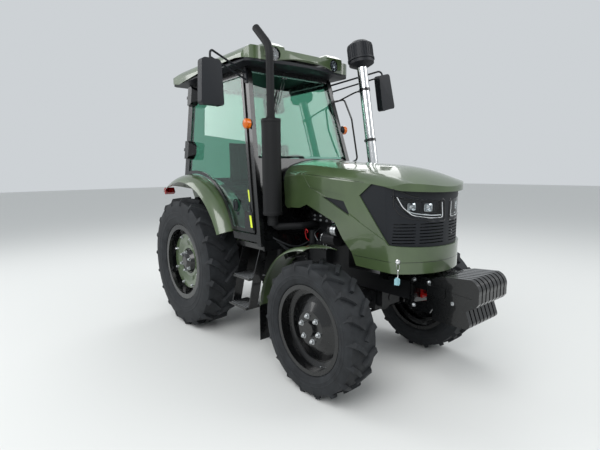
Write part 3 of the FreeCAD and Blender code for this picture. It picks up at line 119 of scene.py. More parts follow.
def makeFinishes():
    finishes = {}

    # Baked enamel over pressed steel: deep, with a faint orange peel in the gloss, drawn coarse enough to show
    material, tree, shader = newFinish("mossEnamel", "#425234", 0.34,
                                       **{"Coat Weight": 0.9, "Coat Roughness": 0.05})
    cloud = addNoise(tree, 220, 2.0)
    tintBetween(tree, shader, cloud.outputs["Fac"], "#3E4E31", "#465737")
    peel = addNoise(tree, 7, 1.0)
    addBump(tree, shader, peel.outputs["Fac"], 0.12, 0.25)
    finishes["enamel"] = material

    # Satin black enamel on welded steel: a little flow in the gloss, which wanders between dull and bright
    material, tree, shader = newFinish("blackEnamel", "#08090A", 0.25, **{
        "Coat Weight": 0.45, "Coat Roughness": 0.05, "Specular IOR Level": 0.35})
    cloud = addNoise(tree, 90, 3.0)
    roughBetween(tree, shader, cloud.outputs["Fac"], 0.20, 0.34)
    peel = addNoise(tree, 6, 1.0)
    addBump(tree, shader, peel.outputs["Fac"], 0.15, 0.3)
    finishes["blackEnamel"] = material

    # Painted grey-iron casting: coarse skin under thick paint
    material, tree, shader = newFinish("paintedCasting", "#0C0D0F", 0.42, **{"Specular IOR Level": 0.3})
    grain = addNoise(tree, 5, 4.0, 0.6)
    addBump(tree, shader, grain.outputs["Fac"], 0.6, 0.5)
    tintBetween(tree, shader, grain.outputs["Fac"], "#0B0C0D", "#17181A")
    finishes["casting"] = material

    # Moulded ABS: dull, blue-grey, its fine grain drawn coarse enough to show
    material, tree, shader = newFinish("grainedPlastic", "#15181D", 0.45, **{"Specular IOR Level": 0.3})
    grain = addNoise(tree, 2.5, 2.0)
    addBump(tree, shader, grain.outputs["Fac"], 0.15, 0.4)
    roughBetween(tree, shader, grain.outputs["Fac"], 0.42, 0.58)
    finishes["plastic"] = material

    # Vulcanised tyre rubber: dull, with paler scuffs all over
    material, tree, shader = newFinish("tyreRubber", "#1B1D20", 0.7, **{"Specular IOR Level": 0.35})
    scuff = addNoise(tree, 120, 6.0, 0.65)
    tintBetween(tree, shader, scuff.outputs["Fac"], "#17191C", "#2A2D30", 0.35, 0.75)
    grain = addNoise(tree, 4, 3.0)
    addBump(tree, shader, grain.outputs["Fac"], 0.3, 0.5)
    finishes["rubber"] = material

    # Float safety glass tinted in the melt: clear, with a cool green cast
    finishes["glass"] = newFinish("tintedGlass", "#9ACBB9", 0.0, IOR=1.45, **{"Transmission Weight": 1.0})[0]

    # Clear moulded polycarbonate: sharp highlights, a trace of blur behind
    finishes["lens"] = newFinish("clearLens", "#F4F7F8", 0.03, IOR=1.4, **{"Transmission Weight": 1.0})[0]

    # Smoked moulded polycarbonate: darkens what is behind it
    finishes["smokedLens"] = newFinish("smokedLens", "#6E757B", 0.05, IOR=1.4,
                                       **{"Transmission Weight": 1.0})[0]

    # Moulded amber and red acrylic: strong colour with a glossy skin
    finishes["amber"] = newFinish("amberLens", "#F07A12", 0.12, IOR=1.49, **{"Transmission Weight": 0.35})[0]
    finishes["red"] = newFinish("redLens", "#A50E12", 0.12, IOR=1.49, **{"Transmission Weight": 0.25})[0]

    # Chromed steel: a bright mirror, slightly clouded by handling
    material, tree, shader = newFinish("chromedSteel", "#D9DADB", 0.12, 1.0)
    cloud = addNoise(tree, 60, 3.0)
    roughBetween(tree, shader, cloud.outputs["Fac"], 0.08, 0.2)
    finishes["chrome"] = material

    # Heat-proof matt paint on steel tube: dry black with a dusty grain
    material, tree, shader = newFinish("mattHeatPaint", "#0E0F11", 0.6, **{"Specular IOR Level": 0.3})
    grain = addNoise(tree, 4, 3.0)
    addBump(tree, shader, grain.outputs["Fac"], 0.2, 0.3)
    roughBetween(tree, shader, grain.outputs["Fac"], 0.55, 0.72)
    finishes["exhaustPaint"] = material

    # Sprayed red enamel, glossy, and moulded red plastic, duller with a fine grain
    material, tree, shader = newFinish("redEnamel", "#A31512", 0.3, **{"Coat Weight": 0.4})
    cloud = addNoise(tree, 40, 2.0)
    roughBetween(tree, shader, cloud.outputs["Fac"], 0.25, 0.4)
    finishes["redEnamel"] = material
    material, tree, shader = newFinish("redPlastic", "#B4181C", 0.42)
    grain = addNoise(tree, 3, 2.0)
    addBump(tree, shader, grain.outputs["Fac"], 0.15, 0.3)
    finishes["redPlastic"] = material

    # Pale blue moulded plastic: a little light comes through
    material, tree, shader = newFinish("tagPlastic", "#9CCBD3", 0.3, **{"Transmission Weight": 0.25})
    cloud = addNoise(tree, 15, 2.0)
    roughBetween(tree, shader, cloud.outputs["Fac"], 0.22, 0.4)
    finishes["tagPlastic"] = material

    # Opal acrylic: milky white; on the headlamp strips it is partly a light guide and partly painted highlight
    # on the lens's bright edge
    finishes["whiteAcrylic"] = newFinish("opalAcrylic", "#F2F5F7", 0.25, **{"Transmission Weight": 0.3})[0]

    # Retroreflecting film, yellow: fine cells under a gloss face, drawn coarse enough to show
    material, tree, shader = newFinish("yellowReflectiveFilm", "#D7E80E", 0.35, **{"Coat Weight": 0.6})
    cells = addNode(tree, "ShaderNodeTexVoronoi", {"Scale": perMetre(2.0)},
                    {"Vector": addNode(tree, "ShaderNodeTexCoord").outputs["Object"]})
    addBump(tree, shader, cells.outputs["Distance"], 0.3, 0.2)
    finishes["reflectiveYellow"] = material

    # Silvered glass: an almost perfect mirror
    finishes["silvering"] = newFinish("silveredGlass", "#E8ECEE", 0.02, 1.0)[0]

    # Zinc-plated steel: a grey shine, patchy where it has dulled
    material, tree, shader = newFinish("zincSteel", "#B9BCBE", 0.3, 1.0)
    cloud = addNoise(tree, 12, 3.0)
    roughBetween(tree, shader, cloud.outputs["Fac"], 0.22, 0.4)
    finishes["steel"] = material

    # Embossed seat vinyl: soft sheen, its leather grain drawn coarse enough to show
    material, tree, shader = newFinish("seatVinyl", "#1E1F21", 0.55)
    grain = addNoise(tree, 3, 2.0)
    addBump(tree, shader, grain.outputs["Fac"], 0.3, 0.6)
    finishes["vinyl"] = material
    return finishes


finishes = makeFinishes()
print("finishes made:", len(finishes))

nodeFinishes = {
    "enamel": ("hood_shell", "cab_roof", "rear_fenders", "fender_front_left", "fender_front_right",
               "disc_rear_left", "disc_rear_right"),
    "plastic": ("hood_mask", "hood_vents", "roof_liner", "mirrors", "intake_cleaner", "dash_console",
                "fuel_tank"),
    "casting": ("engine", "transmission", "front_support", "front_axle_beam", "rear_axle_tubes",
                "hitch_frame"),
    "lens": ("headlamps",),
    "smokedLens": ("roof_lamps",),
    "amber": ("signal_lamps",),
    "red": ("tail_lamps",),
    "glass": ("cab_glass", "door_glass_left", "door_glass_right"),
    "rubber": ("tyre_front_left", "tyre_front_right", "tyre_rear_left", "tyre_rear_right"),
    "chrome": ("intake_pipe",),
    "exhaustPaint": ("exhaust",),
    "vinyl": ("seat_pads",),
}


def coverNodes():
    # Every CAD node gets the finish that lists it above, and the rest are black enamel
    chosen = {node: finish for finish, names in nodeFinishes.items() for node in names}
    for name, piece in nodes.items():
        piece.data.materials.clear()
        piece.data.materials.append(finishes[chosen.get(name, "blackEnamel")])


coverNodes()


# Places and mesh helpers

def boxOf(node):
    low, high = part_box(node)
    return Vector(low), Vector(high)


def middleOf(node):
    low, high = boxOf(node)
    return (low + high) / 2


axle = middleOf("rim_rear_left").x      # the rear axle's place along X; pieces are placed from it


def at(x, y, z):
    return Vector((axle + x, y, z))


def surfaceAt(names, start, aim):
    # Where a straight line from start first meets one of these nodes, and the surface's normal there
    hits = []
    for name in names:
        piece = nodes[name]
        tree = BVHTree.FromPolygons([v.co for v in piece.data.vertices],
                                    [p.vertices for p in piece.data.polygons])
        place, normal, index, reach = tree.ray_cast(start, aim)
        if place:
            hits.append((reach, place, normal))
    if not hits:
        return None, None
    reach, place, normal = min(hits, key=lambda hit: hit[0])
    return place, normal


def frontSurface(names, y, z):
    return surfaceAt(names, at(4.0, y, z), Vector((-1, 0, 0)))


def sideSurface(names, x, side, z):
    return surfaceAt(names, at(x, side * 3.0, z), Vector((0, -side, 0)))


def addLoft(work, rings, loop=False, caps=True):
    # Skins rings of points with the same count; loop joins the last ring to the first
    rows = [[work.verts.new(point) for point in ring] for ring in rings]
    pairs = list(zip(rows, rows[1:]))
    if loop:
        pairs.append((rows[-1], rows[0]))
    for row, after in pairs:
        for i in range(len(row)):
            j = (i + 1) % len(row)
            work.faces.new((row[i], row[j], after[j], after[i]))
    if caps and not loop:
        work.faces.new(rows[0][::-1])
        work.faces.new(rows[-1])


def frameAlong(axis):
    # Two unit vectors square to an axis
    axis = axis.normalized()
    guide = Vector((0, 0, 1)) if abs(axis.z) < 0.9 else Vector((1, 0, 0))
    side = axis.cross(guide).normalized()
    return side, side.cross(axis).normalized()


def addTurned(work, profile, centre, axis, steps=48, closed=False):
    # Turns (along, radius) rows about an axis; a closed profile makes a ring, an open one ends in flat caps
    axis = axis.normalized()
    side, up = frameAlong(axis)
    rings = []
    for along, radius in profile:
        ring = []
        for step in range(steps):
            angle = 2 * math.pi * step / steps
            ring.append(centre + axis * along + (side * math.sin(angle) + up * math.cos(angle)) * radius)
        rings.append(ring)
    addLoft(work, rings, loop=closed)


def rounded(points, bend, steps=6):
    # The same path with each inner corner drawn as a bend of this length
    path = [points[0]]
    for before, corner, after in zip(points, points[1:], points[2:]):
        inward = corner + (before - corner).normalized() * min(bend, (before - corner).length * 0.48)
        outward = corner + (after - corner).normalized() * min(bend, (after - corner).length * 0.48)
        for step in range(steps + 1):
            t = step / steps
            path.append(inward * (1 - t) ** 2 + corner * 2 * t * (1 - t) + outward * t ** 2)
    path.append(points[-1])
    return path


def addTube(work, path, radius, sides=12, loop=False, flat=1.0):
    # A round or flattened rod along a path, with its cross-section carried along without twist
    count = len(path)
    rings = []
    side = None
    for i, point in enumerate(path):
        before = path[i - 1] if i or loop else path[0]
        after = path[(i + 1) % count] if i < count - 1 or loop else path[-1]
        ahead = (after - before).normalized()
        if side is None:
            side, up = frameAlong(ahead)
        side = (side - ahead * side.dot(ahead)).normalized()
        up = side.cross(ahead)
        ring = []
        for step in range(sides):
            angle = 2 * math.pi * step / sides
            ring.append(point + side * math.sin(angle) * radius + up * math.cos(angle) * radius * flat)
        rings.append(ring)
    addLoft(work, rings, loop=loop)


def addPlate(work, outline, low, high, bevel=0.0, segments=2):
    # A flat outline raised from the offset low to the offset high, with its edges rounded
    piece = bmesh.new()
    addLoft(piece, [[point + low for point in outline], [point + high for point in outline]])
    if bevel:
        bmesh.ops.bevel(piece, geom=piece.edges[:], offset=bevel, segments=segments, affect="EDGES",
                        clamp_overlap=True)
    join(work, piece)


def addBlock(work, low, high, bevel=0.003, segments=2):
    outline = [Vector((x, y, low[2])) for x, y in
               ((low[0], low[1]), (high[0], low[1]), (high[0], high[1]), (low[0], high[1]))]
    addPlate(work, outline, Vector((0, 0, 0)), Vector((0, 0, high[2] - low[2])), bevel, segments)


def join(work, piece):
    mesh = bpy.data.meshes.new("part")
    piece.to_mesh(mesh)
    piece.free()
    work.from_mesh(mesh)
    bpy.data.meshes.remove(mesh)


def closeMesh(work, name):
    bmesh.ops.recalc_face_normals(work, faces=work.faces[:])
    mesh = bpy.data.meshes.new(name)
    work.to_mesh(mesh)
    work.free()
    return mesh


def finishPiece(name, work, body, finish, edge=35):
    # An object that rides on its body, smooth but for its real edges
    mesh = work if isinstance(work, bpy.types.Mesh) else closeMesh(work, name)
    mesh.materials.clear()
    mesh.materials.append(finishes[finish])
    mesh.shade_smooth()
    mesh.set_sharp_from_angle(angle=math.radians(edge))
    piece = bpy.data.objects.new(name, mesh)
    bpy.context.scene.collection.objects.link(piece)
    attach(piece, body)
    return piece


# Repeats, as Geometry Nodes trees whose result becomes a plain mesh

def newRepeatTree(name, inputs):
    tree = bpy.data.node_groups.new(name, "GeometryNodeTree")
    tree.interface.new_socket(name="Copy", in_out="INPUT", socket_type="NodeSocketGeometry")
    for label, kind in inputs:
        tree.interface.new_socket(name=label, in_out="INPUT", socket_type=kind)
    tree.interface.new_socket(name="Finish", in_out="INPUT", socket_type="NodeSocketMaterial")
    tree.interface.new_socket(name="Geometry", in_out="OUTPUT", socket_type="NodeSocketGeometry")
    start = tree.nodes.new("NodeGroupInput")
    end = tree.nodes.new("NodeGroupOutput")
    return tree, start, end


def endRepeatTree(tree, start, end, copies):
    solid = addNode(tree, "GeometryNodeRealizeInstances", None, {"Geometry": copies})
    painted = addNode(tree, "GeometryNodeSetMaterial", None,
                      {"Geometry": solid.outputs["Geometry"], "Material": start.outputs["Finish"]})
    tree.links.new(painted.outputs["Geometry"], end.inputs["Geometry"])


def makeRingOfCopies():
    # Copies turned about an axis through a centre, evenly over the full circle
    tree, start, end = newRepeatTree("ringOfCopies", (
        ("Count", "NodeSocketInt"), ("Centre", "NodeSocketVector"), ("Axis", "NodeSocketVector")))
    back = addNode(tree, "ShaderNodeVectorMath", {"operation": "SCALE", "Scale": -1.0},
                   {0: start.outputs["Centre"]})
    moved = addNode(tree, "GeometryNodeTransform", None,
                    {"Geometry": start.outputs["Copy"], "Translation": back.outputs["Vector"]})
    points = addNode(tree, "GeometryNodePoints", None,
                     {"Count": start.outputs["Count"], "Position": start.outputs["Centre"]})
    index = tree.nodes.new("GeometryNodeInputIndex")
    share = addNode(tree, "ShaderNodeMath", {"operation": "DIVIDE"},
                    {0: index.outputs["Index"], 1: start.outputs["Count"]})
    angle = addNode(tree, "ShaderNodeMath", {"operation": "MULTIPLY", 1: 2 * math.pi},
                    {0: share.outputs["Value"]})
    turn = addNode(tree, "FunctionNodeAxisAngleToRotation", None,
                   {"Axis": start.outputs["Axis"], "Angle": angle.outputs["Value"]})
    copies = addNode(tree, "GeometryNodeInstanceOnPoints", None,
                     {"Points": points.outputs["Points"], "Instance": moved.outputs["Geometry"],
                      "Rotation": turn.outputs["Rotation"]})
    endRepeatTree(tree, start, end, copies.outputs["Instances"])
    return tree


def makeRowOfCopies():
    # Copies set out in a row, each moved on by the same step
    tree, start, end = newRepeatTree("rowOfCopies", (
        ("Count", "NodeSocketInt"), ("Step", "NodeSocketVector")))
    index = tree.nodes.new("GeometryNodeInputIndex")
    place = addNode(tree, "ShaderNodeVectorMath", {"operation": "SCALE"},
                    {0: start.outputs["Step"], "Scale": index.outputs["Index"]})
    points = addNode(tree, "GeometryNodePoints", None,
                     {"Count": start.outputs["Count"], "Position": place.outputs["Vector"]})
    copies = addNode(tree, "GeometryNodeInstanceOnPoints", None,
                     {"Points": points.outputs["Points"], "Instance": start.outputs["Copy"]})
    endRepeatTree(tree, start, end, copies.outputs["Instances"])
    return tree


def repeated(work, tree, finish, values):
    # The mesh that a repeat tree makes of one copy
    mesh = closeMesh(work, "copy")
    holder = bpy.data.objects.new("copy", mesh)
    bpy.context.scene.collection.objects.link(holder)
    modifier = holder.modifiers.new("repeat", "NODES")
    modifier.node_group = tree
    for socket in tree.interface.items_tree:
        if socket.in_out == "INPUT" and socket.name in values:
            modifier[socket.identifier] = values[socket.name]
        if socket.in_out == "INPUT" and socket.name == "Finish":
            modifier[socket.identifier] = finishes[finish]
    graph = bpy.context.evaluated_depsgraph_get()
    result = bpy.data.meshes.new_from_object(holder.evaluated_get(graph))
    bpy.data.objects.remove(holder)
    bpy.data.meshes.remove(mesh)
    return result


ringOfCopies = makeRingOfCopies()
rowOfCopies = makeRowOfCopies()
print("helpers ready")


# Tyres: a round casing with ribbed sidewalls, and two rows of swept lugs

tyreShapes = {
    "rear": {"pairs": 19, "bead": 0.356, "lip": 0.398, "rimHalf": 0.148, "lugHeight": 0.034},
    "front": {"pairs": 18, "bead": 0.305, "lip": 0.329, "rimHalf": 0.095, "lugHeight": 0.027},
    "tread": 0.45,                # half tread width as a share of the tyre's width
    "wallSteps": 30, "wallBulge": 2.4,
    "ribs": (0.3, 0.5), "ribHalf": 0.02, "ribHeight": 0.0025,      # ribs are shares of the wall's height
    "lean": (0.19, 0.50, 0.14),   # a lug's lead at the middle, its sweep and its straightening
}

# Shares of the tyre's width are from, run, endFace, half and growth; the rest are metres or shares of the lug
lugShape = {
    "steps": 9, "from": 0.015, "run": 0.440, "endFace": 0.466, "half": 0.047, "growth": 0.030,
    "crownGap": 0.0006, "crownFall": 0.004, "rootSink": 0.010, "rootFall": 0.03, "fallFrom": 0.7,
    "endTop": 0.012, "endRoot": 0.045, "flare": 1.18, "flat": 0.9, "chamfer": 0.003,
}


def wheelPlace(end, side):
    # The centre, radius and width of a tyre, and the sign of its outer side
    low, high = boxOf(f"tyre_{end}_{side}")
    return (low + high) / 2, (high.z - low.z) / 2, high.y - low.y, 1 if side == "left" else -1


def tyrePoint(centre, along, y, reach, base):
    angle = along / base
    return centre + Vector((reach * math.sin(angle), y, reach * math.cos(angle)))


def casingHalf(shape, width, base):
    # One half of the casing's outline, from the bead out and up to the middle of the tread, as (y, radius)
    start = shape["rimHalf"]
    low = shape["lip"] + 0.004
    edge = width * tyreShapes["tread"]
    rows = [(start, shape["bead"]), (start, low)]
    count = tyreShapes["wallSteps"]
    for step in range(count + 1):
        t = -1 + 2 * step / count
        inner = start + 0.012 if t < 0 else edge
        y = inner + (width / 2 - inner) * (1 - abs(t) ** tyreShapes["wallBulge"])
        reach = (low + base) / 2 + t * (base - low - 0.008) / 2
        for rib in tyreShapes["ribs"]:
            if abs((t + 1) / 2 - rib) < tyreShapes["ribHalf"]:
                y += tyreShapes["ribHeight"]
        rows.append((y, reach))
    rows += [(edge * 0.6, base - 0.002), (edge * 0.3, base)]
    return rows


def addLug(work, centre, base, radius, width, side):
    # One bar from the middle of the tread out over the shoulder, its end sloping down the sidewall
    lead, sweep, ease = tyreShapes["lean"]
    lug = lugShape
    span = width * (lug["from"] + lug["run"])
    rings = []
    for step in range(lug["steps"] + 1):
        t = step / lug["steps"]
        along = width * (lead - sweep * t + ease * t * t)
        turn = width * (-sweep + 2 * ease * t)
        y = width * (lug["from"] + lug["run"] * t)
        half = width * (lug["half"] + lug["growth"] * t)
        length = math.hypot(turn, span)
        cross = (span / length * half, -turn / length * half)
        top = radius - lug["crownGap"] - lug["crownFall"] * t ** 2
        root = base - lug["rootSink"] - lug["rootFall"] * max(0.0, t - lug["fallFrom"])
        if step == lug["steps"]:
            y = width * lug["endFace"]
            top = base - lug["endTop"]
            root = base - lug["endRoot"]
        outline = [(lug["flare"], root), (1.0, top - lug["chamfer"]), (lug["flat"], top)]
        ring = []
        for share, reach in [(-share, reach) for share, reach in outline] + outline[::-1]:
            place = (along + cross[0] * share, side * (y + cross[1] * share))
            ring.append(tyrePoint(centre, *place, reach, base))
        rings.append(ring)
    addLoft(work, rings)


def makeTyre(end, side):
    centre, radius, width = wheelPlace(end, side)[:3]
    shape = tyreShapes[end]
    base = radius - shape["lugHeight"]
    half = casingHalf(shape, width, base)
    profile = half + [(0.0, base + 0.001)] + [(-y, reach) for y, reach in reversed(half)]
    work = bmesh.new()
    addTurned(work, profile, centre, Vector((0, 1, 0)), steps=6 * shape["pairs"], closed=True)
    casing = closeMesh(work, "casing")
    work = bmesh.new()
    pitch = 2 * math.pi / shape["pairs"]
    addLug(work, centre, base, radius, width, 1)
    turn = Matrix.Translation(centre) @ Matrix.Rotation(pitch / 2, 4, "Y") @ Matrix.Translation(-centre)
    other = bmesh.new()
    addLug(other, centre, base, radius, width, -1)
    bmesh.ops.transform(other, matrix=turn, verts=other.verts[:])
    join(work, other)
    lugs = repeated(work, ringOfCopies, "rubber",
                    {"Count": shape["pairs"], "Centre": centre, "Axis": (0, 1, 0)})
    whole = bmesh.new()
    whole.from_mesh(casing)
    whole.from_mesh(lugs)
    piece = finishPiece(f"tyre_{end}_{side}_tread", whole, f"wheel_{end}_{side}", "rubber", 32)
    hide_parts(f"tyre_{end}_{side}")


def addNut(work, place, axis, width, height):
    # A flanged hexagon nut with a chamfered top and the stud's end in it
    side, up = frameAlong(axis)
    axis = axis.normalized()

    def hexagon(reach, along):
        corners = [math.radians(60 * k) for k in range(6)]
        return [place + axis * along + (side * math.sin(a) + up * math.cos(a)) * reach for a in corners]

    addTurned(work, [(0.0, width * 0.72), (height * 0.18, width * 0.72), (height * 0.24, width * 0.60)],
              place, axis, 20)
    addLoft(work, [hexagon(width * 0.55, 0.0), hexagon(width * 0.55, height * 0.85),
                   hexagon(width * 0.45, height)])
    addTurned(work, [(height * 0.5, width * 0.28), (height * 1.25, width * 0.28), (height * 1.35, width * 0.2)],
              place, axis, 14)


wheelNuts = {      # start is degrees round from the top; size is width and height
    "front": {"seat": "rim_front", "count": 6, "circle": 0.094, "start": -17.0, "size": (0.030, 0.022)},
    "hub": {"seat": "rim_rear", "count": 6, "circle": 0.100, "start": 10.0, "size": (0.028, 0.022)},
    "disc": {"seat": "disc_rear", "count": 8, "circle": 0.268, "start": 22.5, "size": (0.024, 0.018)},
}

valve = {"towards": (0.5, 0, -0.866), "across": 0.45, "sink": 0.014, "length": 0.045, "lean": 0.020,
         "radius": 0.004}


def makeWheelNuts():
    for end, rings in (("front", ("front",)), ("rear", ("hub", "disc"))):
        for side in ("left", "right"):
            centre, radius, width, outer = wheelPlace(end, side)
            axis = Vector((0, outer, 0))
            whole = bmesh.new()
            for ring in rings:
                spec = wheelNuts[ring]
                angle = math.radians(spec["start"])
                place = centre + axis * 0.5 + Vector((math.sin(angle), 0, math.cos(angle))) * spec["circle"]
                place = surfaceAt([f"{spec['seat']}_{side}"], place, -axis)[0]
                work = bmesh.new()
                addNut(work, place, axis, *spec["size"])
                whole.from_mesh(repeated(work, ringOfCopies, "steel",
                                         {"Count": spec["count"], "Centre": centre, "Axis": (0, 1, 0)}))
            # The valve stands in the rim beside the bead
            shape = tyreShapes[end]
            away = Vector(valve["towards"])
            foot = centre + axis * (shape["rimHalf"] * valve["across"])
            foot += away * (shape["bead"] - valve["sink"])
            tip = foot + axis * valve["length"] - away * valve["lean"]
            addTube(whole, [foot, foot + (tip - foot) * 0.4, tip], valve["radius"], 10)
            finishPiece(f"wheel_nuts_{end}_{side}", whole, f"wheel_{end}_{side}", "steel", 30)


for end in ("front", "rear"):
    for side in ("left", "right"):
        makeTyre(end, side)
makeWheelNuts()
print("tyres and wheel nuts made")


# Headlamps: a dark housing behind each clear lens, two lamp cups, a thin white strip that is partly a light
# strip and partly painted highlight on the lens edge, and a gloss band

headlamp = {
    "housingSink": 0.002, "housingWall": 0.002, "frontFacing": 0.35,
    "cups": ((0.281, 1.390), (0.171, 1.382)),       # (|y|, z)
    "cupWidth": 0.035, "cupHeight": 0.027, "cupDepth": 0.024, "cupSink": 0.010, "cupCorner": 0.012,
    "cupTurn": (0.25, -0.03),                       # how far a cup looks outwards and down
    "cupRings": ((0.42, 1.0), (0.62, 0.8), (0.80, 0.4), (0.92, 0.0), (1.00, 0.0), (1.00, 0.25), (0.70, 0.95),
                 (0.50, 1.15)),                     # (share of the half sizes, share of the depth)
    "projector": ((-0.022, 0.011), (-0.010, 0.0115), (-0.004, 0.009), (-0.002, 0.004)),      # (along, radius)
    "strip": ((0.380, 1.458), (0.345, 1.384), (0.288, 1.332), (0.170, 1.311), (0.054, 1.309),
              (0.064, 1.416)),
    "ledge": ((0.322, 1.366), (0.284, 1.347), (0.170, 1.330), (0.072, 1.328)),
    "band": ((0.402, 1.512), (0.396, 1.393), (0.362, 1.338), (0.290, 1.308), (0.170, 1.288), (0.030, 1.284),
             (0.040, 1.434), (0.270, 1.457), (0.402, 1.486)),
    "highlightStripRadius": 0.0028, "ledgeRadius": 0.0075, "bandRadius": 0.0045,
    "proud": 0.0006, "ledgeSink": 0.009, "bend": 0.02,
}

# How a line from ahead meets the rounded nose: its slant, and where it starts
nose = {"slant": (0.75, 0.66), "ahead": 2.46, "bulge": 0.16, "half": 0.4}


def onNose(names, y, z, proud):
    # A point on the hood's nose, met by a line from ahead that slants in towards its middle
    back, inward = nose["slant"]
    aim = Vector((-back, -y / abs(y) * inward, 0)).normalized()
    start = at(nose["ahead"] + nose["bulge"] * (1 - (abs(y) / nose["half"]) ** 2), y, z)
    return surfaceAt(names, start - aim, aim)[0] - aim * proud


def onFront(names, y, z, proud):
    return frontSurface(names, y, z)[0] + Vector((proud, 0, 0))


def roundedBox(centre, axis, halfWidth, halfHeight, corner):
    # A rounded rectangle square to an axis, as points
    side, up = frameAlong(axis)
    outline = []
    for signX, signZ, start in ((1, 1, 0), (-1, 1, 90), (-1, -1, 180), (1, -1, 270)):
        for step in range(5):
            angle = math.radians(start + 22.5 * step)
            outline.append(centre + side * (signX * (halfWidth - corner) + math.cos(angle) * corner)
                           + up * (signZ * (halfHeight - corner) + math.sin(angle) * corner))
    return outline


def makeHeadlamps():
    names = ["hood_mask", "headlamps"]
    housing = bmesh.new()
    housing.from_mesh(nodes["headlamps"].data)
    bmesh.ops.translate(housing, vec=Vector((-headlamp["housingSink"], 0, 0)), verts=housing.verts[:])
    fronts = [face for face in housing.faces if face.normal.x > headlamp["frontFacing"]]
    bmesh.ops.delete(housing, geom=fronts, context="FACES")
    bmesh.ops.solidify(housing, geom=housing.faces[:], thickness=headlamp["housingWall"])
    finishPiece("headlamp_housings", housing, "hood", "plastic")
    cups, projectors, strips, ledges, bands = [bmesh.new() for k in range(5)]
    proud, bend = headlamp["proud"], headlamp["bend"]
    for side in (1, -1):
        for y, z in headlamp["cups"]:
            face = onFront(names, side * y, z, -headlamp["cupSink"])
            outwards, down = headlamp["cupTurn"]
            axis = Vector((1, side * outwards, down)).normalized()
            rings = []
            for share, deep in headlamp["cupRings"]:
                rings.append(roundedBox(face - axis * headlamp["cupDepth"] * deep, axis,
                                        headlamp["cupWidth"] * share, headlamp["cupHeight"] * share,
                                        headlamp["cupCorner"] * share))
            addLoft(cups, rings)
            addTurned(projectors, headlamp["projector"], face, axis, 24)
        # The thin white strip along each lens's lower edge is partly a light strip and partly painted highlight
        # on the lens's bright edge
        path = [onNose(names, side * y, z, proud) for y, z in headlamp["strip"]]
        addTube(strips, rounded(path, bend), headlamp["highlightStripRadius"], 8)
        path = [onNose(names, side * y, z, -headlamp["ledgeSink"]) for y, z in headlamp["ledge"]]
        addTube(ledges, rounded(path, bend), headlamp["ledgeRadius"], 10)
        path = [onNose(names + ["hood_shell"], side * y, z, proud) for y, z in headlamp["band"]]
        addTube(bands, rounded(path, bend)[:-1], headlamp["bandRadius"], 8, loop=True)
    finishPiece("headlamp_cups", cups, "hood", "silvering")
    finishPiece("headlamp_projectors", projectors, "hood", "whiteAcrylic")
    finishPiece("headlamp_light_strip_and_painted_highlight", strips, "hood", "whiteAcrylic")
    finishPiece("headlamp_ledges", ledges, "hood", "silvering")
    finishPiece("headlamp_bands", bands, "hood", "blackEnamel")


makeHeadlamps()


# Hood: panel seams, and the rubber seal at its rear edge

hoodLines = {
    "upperSeam": ((1.262, 1.632), (1.49, 1.610), (1.938, 1.575), (2.230, 1.549)),   # (x, z)
    "lowerSeamZ": 1.010, "flankFrom": 2.09, "flankLength": 0.34, "noseFrom": 0.36, "noseWidth": 0.35,
    "seamRadius": 0.0016, "sealX": 1.2035, "sealMiddle": 1.45, "sealTurn": 108, "sealRadius": 0.006,
}


def makeHoodLines():
    seams = bmesh.new()
    for side in (1, -1):
        path = []
        rows = hoodLines["upperSeam"]
        for (x, z), (nextX, nextZ) in zip(rows, rows[1:]):
            for step in range(8):
                share = step / 8
                path.append(sideSurface(["hood_shell"], x + (nextX - x) * share, side,
                                        z + (nextZ - z) * share)[0])
        addTube(seams, path, hoodLines["seamRadius"], 6)
    z = hoodLines["lowerSeamZ"]
    path = []
    for side in (1, -1):
        flank = []
        for step in range(16):
            x = hoodLines["flankFrom"] + hoodLines["flankLength"] * step / 15
            flank.append(sideSurface(["hood_shell"], x, side, z)[0])
        for step in range(12):
            y = side * (hoodLines["noseFrom"] - hoodLines["noseWidth"] * step / 11)
            flank.append(onNose(["hood_shell", "hood_mask"], y, z, 0))
        path += flank if side == 1 else flank[::-1]
    addTube(seams, path, hoodLines["seamRadius"], 6)
    finishPiece("hood_seams", seams, "hood", "blackEnamel")
    seal = bmesh.new()
    path = []
    centre = at(hoodLines["sealX"], 0, hoodLines["sealMiddle"])
    turn = hoodLines["sealTurn"]
    for step in range(49):
        angle = math.radians(-turn + 2 * turn * step / 48)
        out = Vector((0, math.sin(angle), math.cos(angle)))
        place = surfaceAt(["hood_shell"], centre + out * 0.8, -out)[0]
        if place:
            path.append(place)
    addTube(seal, path, hoodLines["sealRadius"], 10)
    finishPiece("hood_rear_seal", seal, "hood", "rubber")


makeHoodLines()
print("hood pieces made")


# Roof lamps: a chromed bowl inside each lens and a black ring round it

roofLamp = {"bowlDepth": 0.028, "bowlGap": 0.006, "ringDepth": 0.012, "ringWidth": 0.006}


def makeRoofLamps():
    low, high = boxOf("roof_lamps")
    radius = (high.z - low.z) / 2
    bowls, rings = bmesh.new(), bmesh.new()
    for side in (1, -1):
        face = Vector((high.x, side * (high.y - radius), (low.z + high.z) / 2))
        axis = Vector((1, 0, 0))
        bowlRadius = radius - roofLamp["bowlGap"]
        depth = roofLamp["bowlDepth"]
        inner = [(-depth * (1 - share ** 2) - 0.004, bowlRadius * max(share, 0.18))
                 for share in (0.0, 0.5, 0.8, 1.0)]
        outer = [(along - 0.002, reach + 0.002) for along, reach in reversed(inner)]
        addTurned(bowls, inner + outer, face, axis, 36)
        width, depth = roofLamp["ringWidth"], roofLamp["ringDepth"]
        addTurned(rings, [(-depth, radius - 0.001), (-depth, radius + width), (0.002, radius + width - 0.002),
                          (0.004, radius + 0.002), (0.004, radius - width), (0.0005, radius - width)],
                  face, axis, 48, closed=True)
    finishPiece("roof_lamp_bowls", bowls, "chassis", "chrome")
    finishPiece("roof_lamp_rings", rings, "chassis", "blackEnamel")


# Direction lamps: a deep amber lens with moulded rings on a black foot

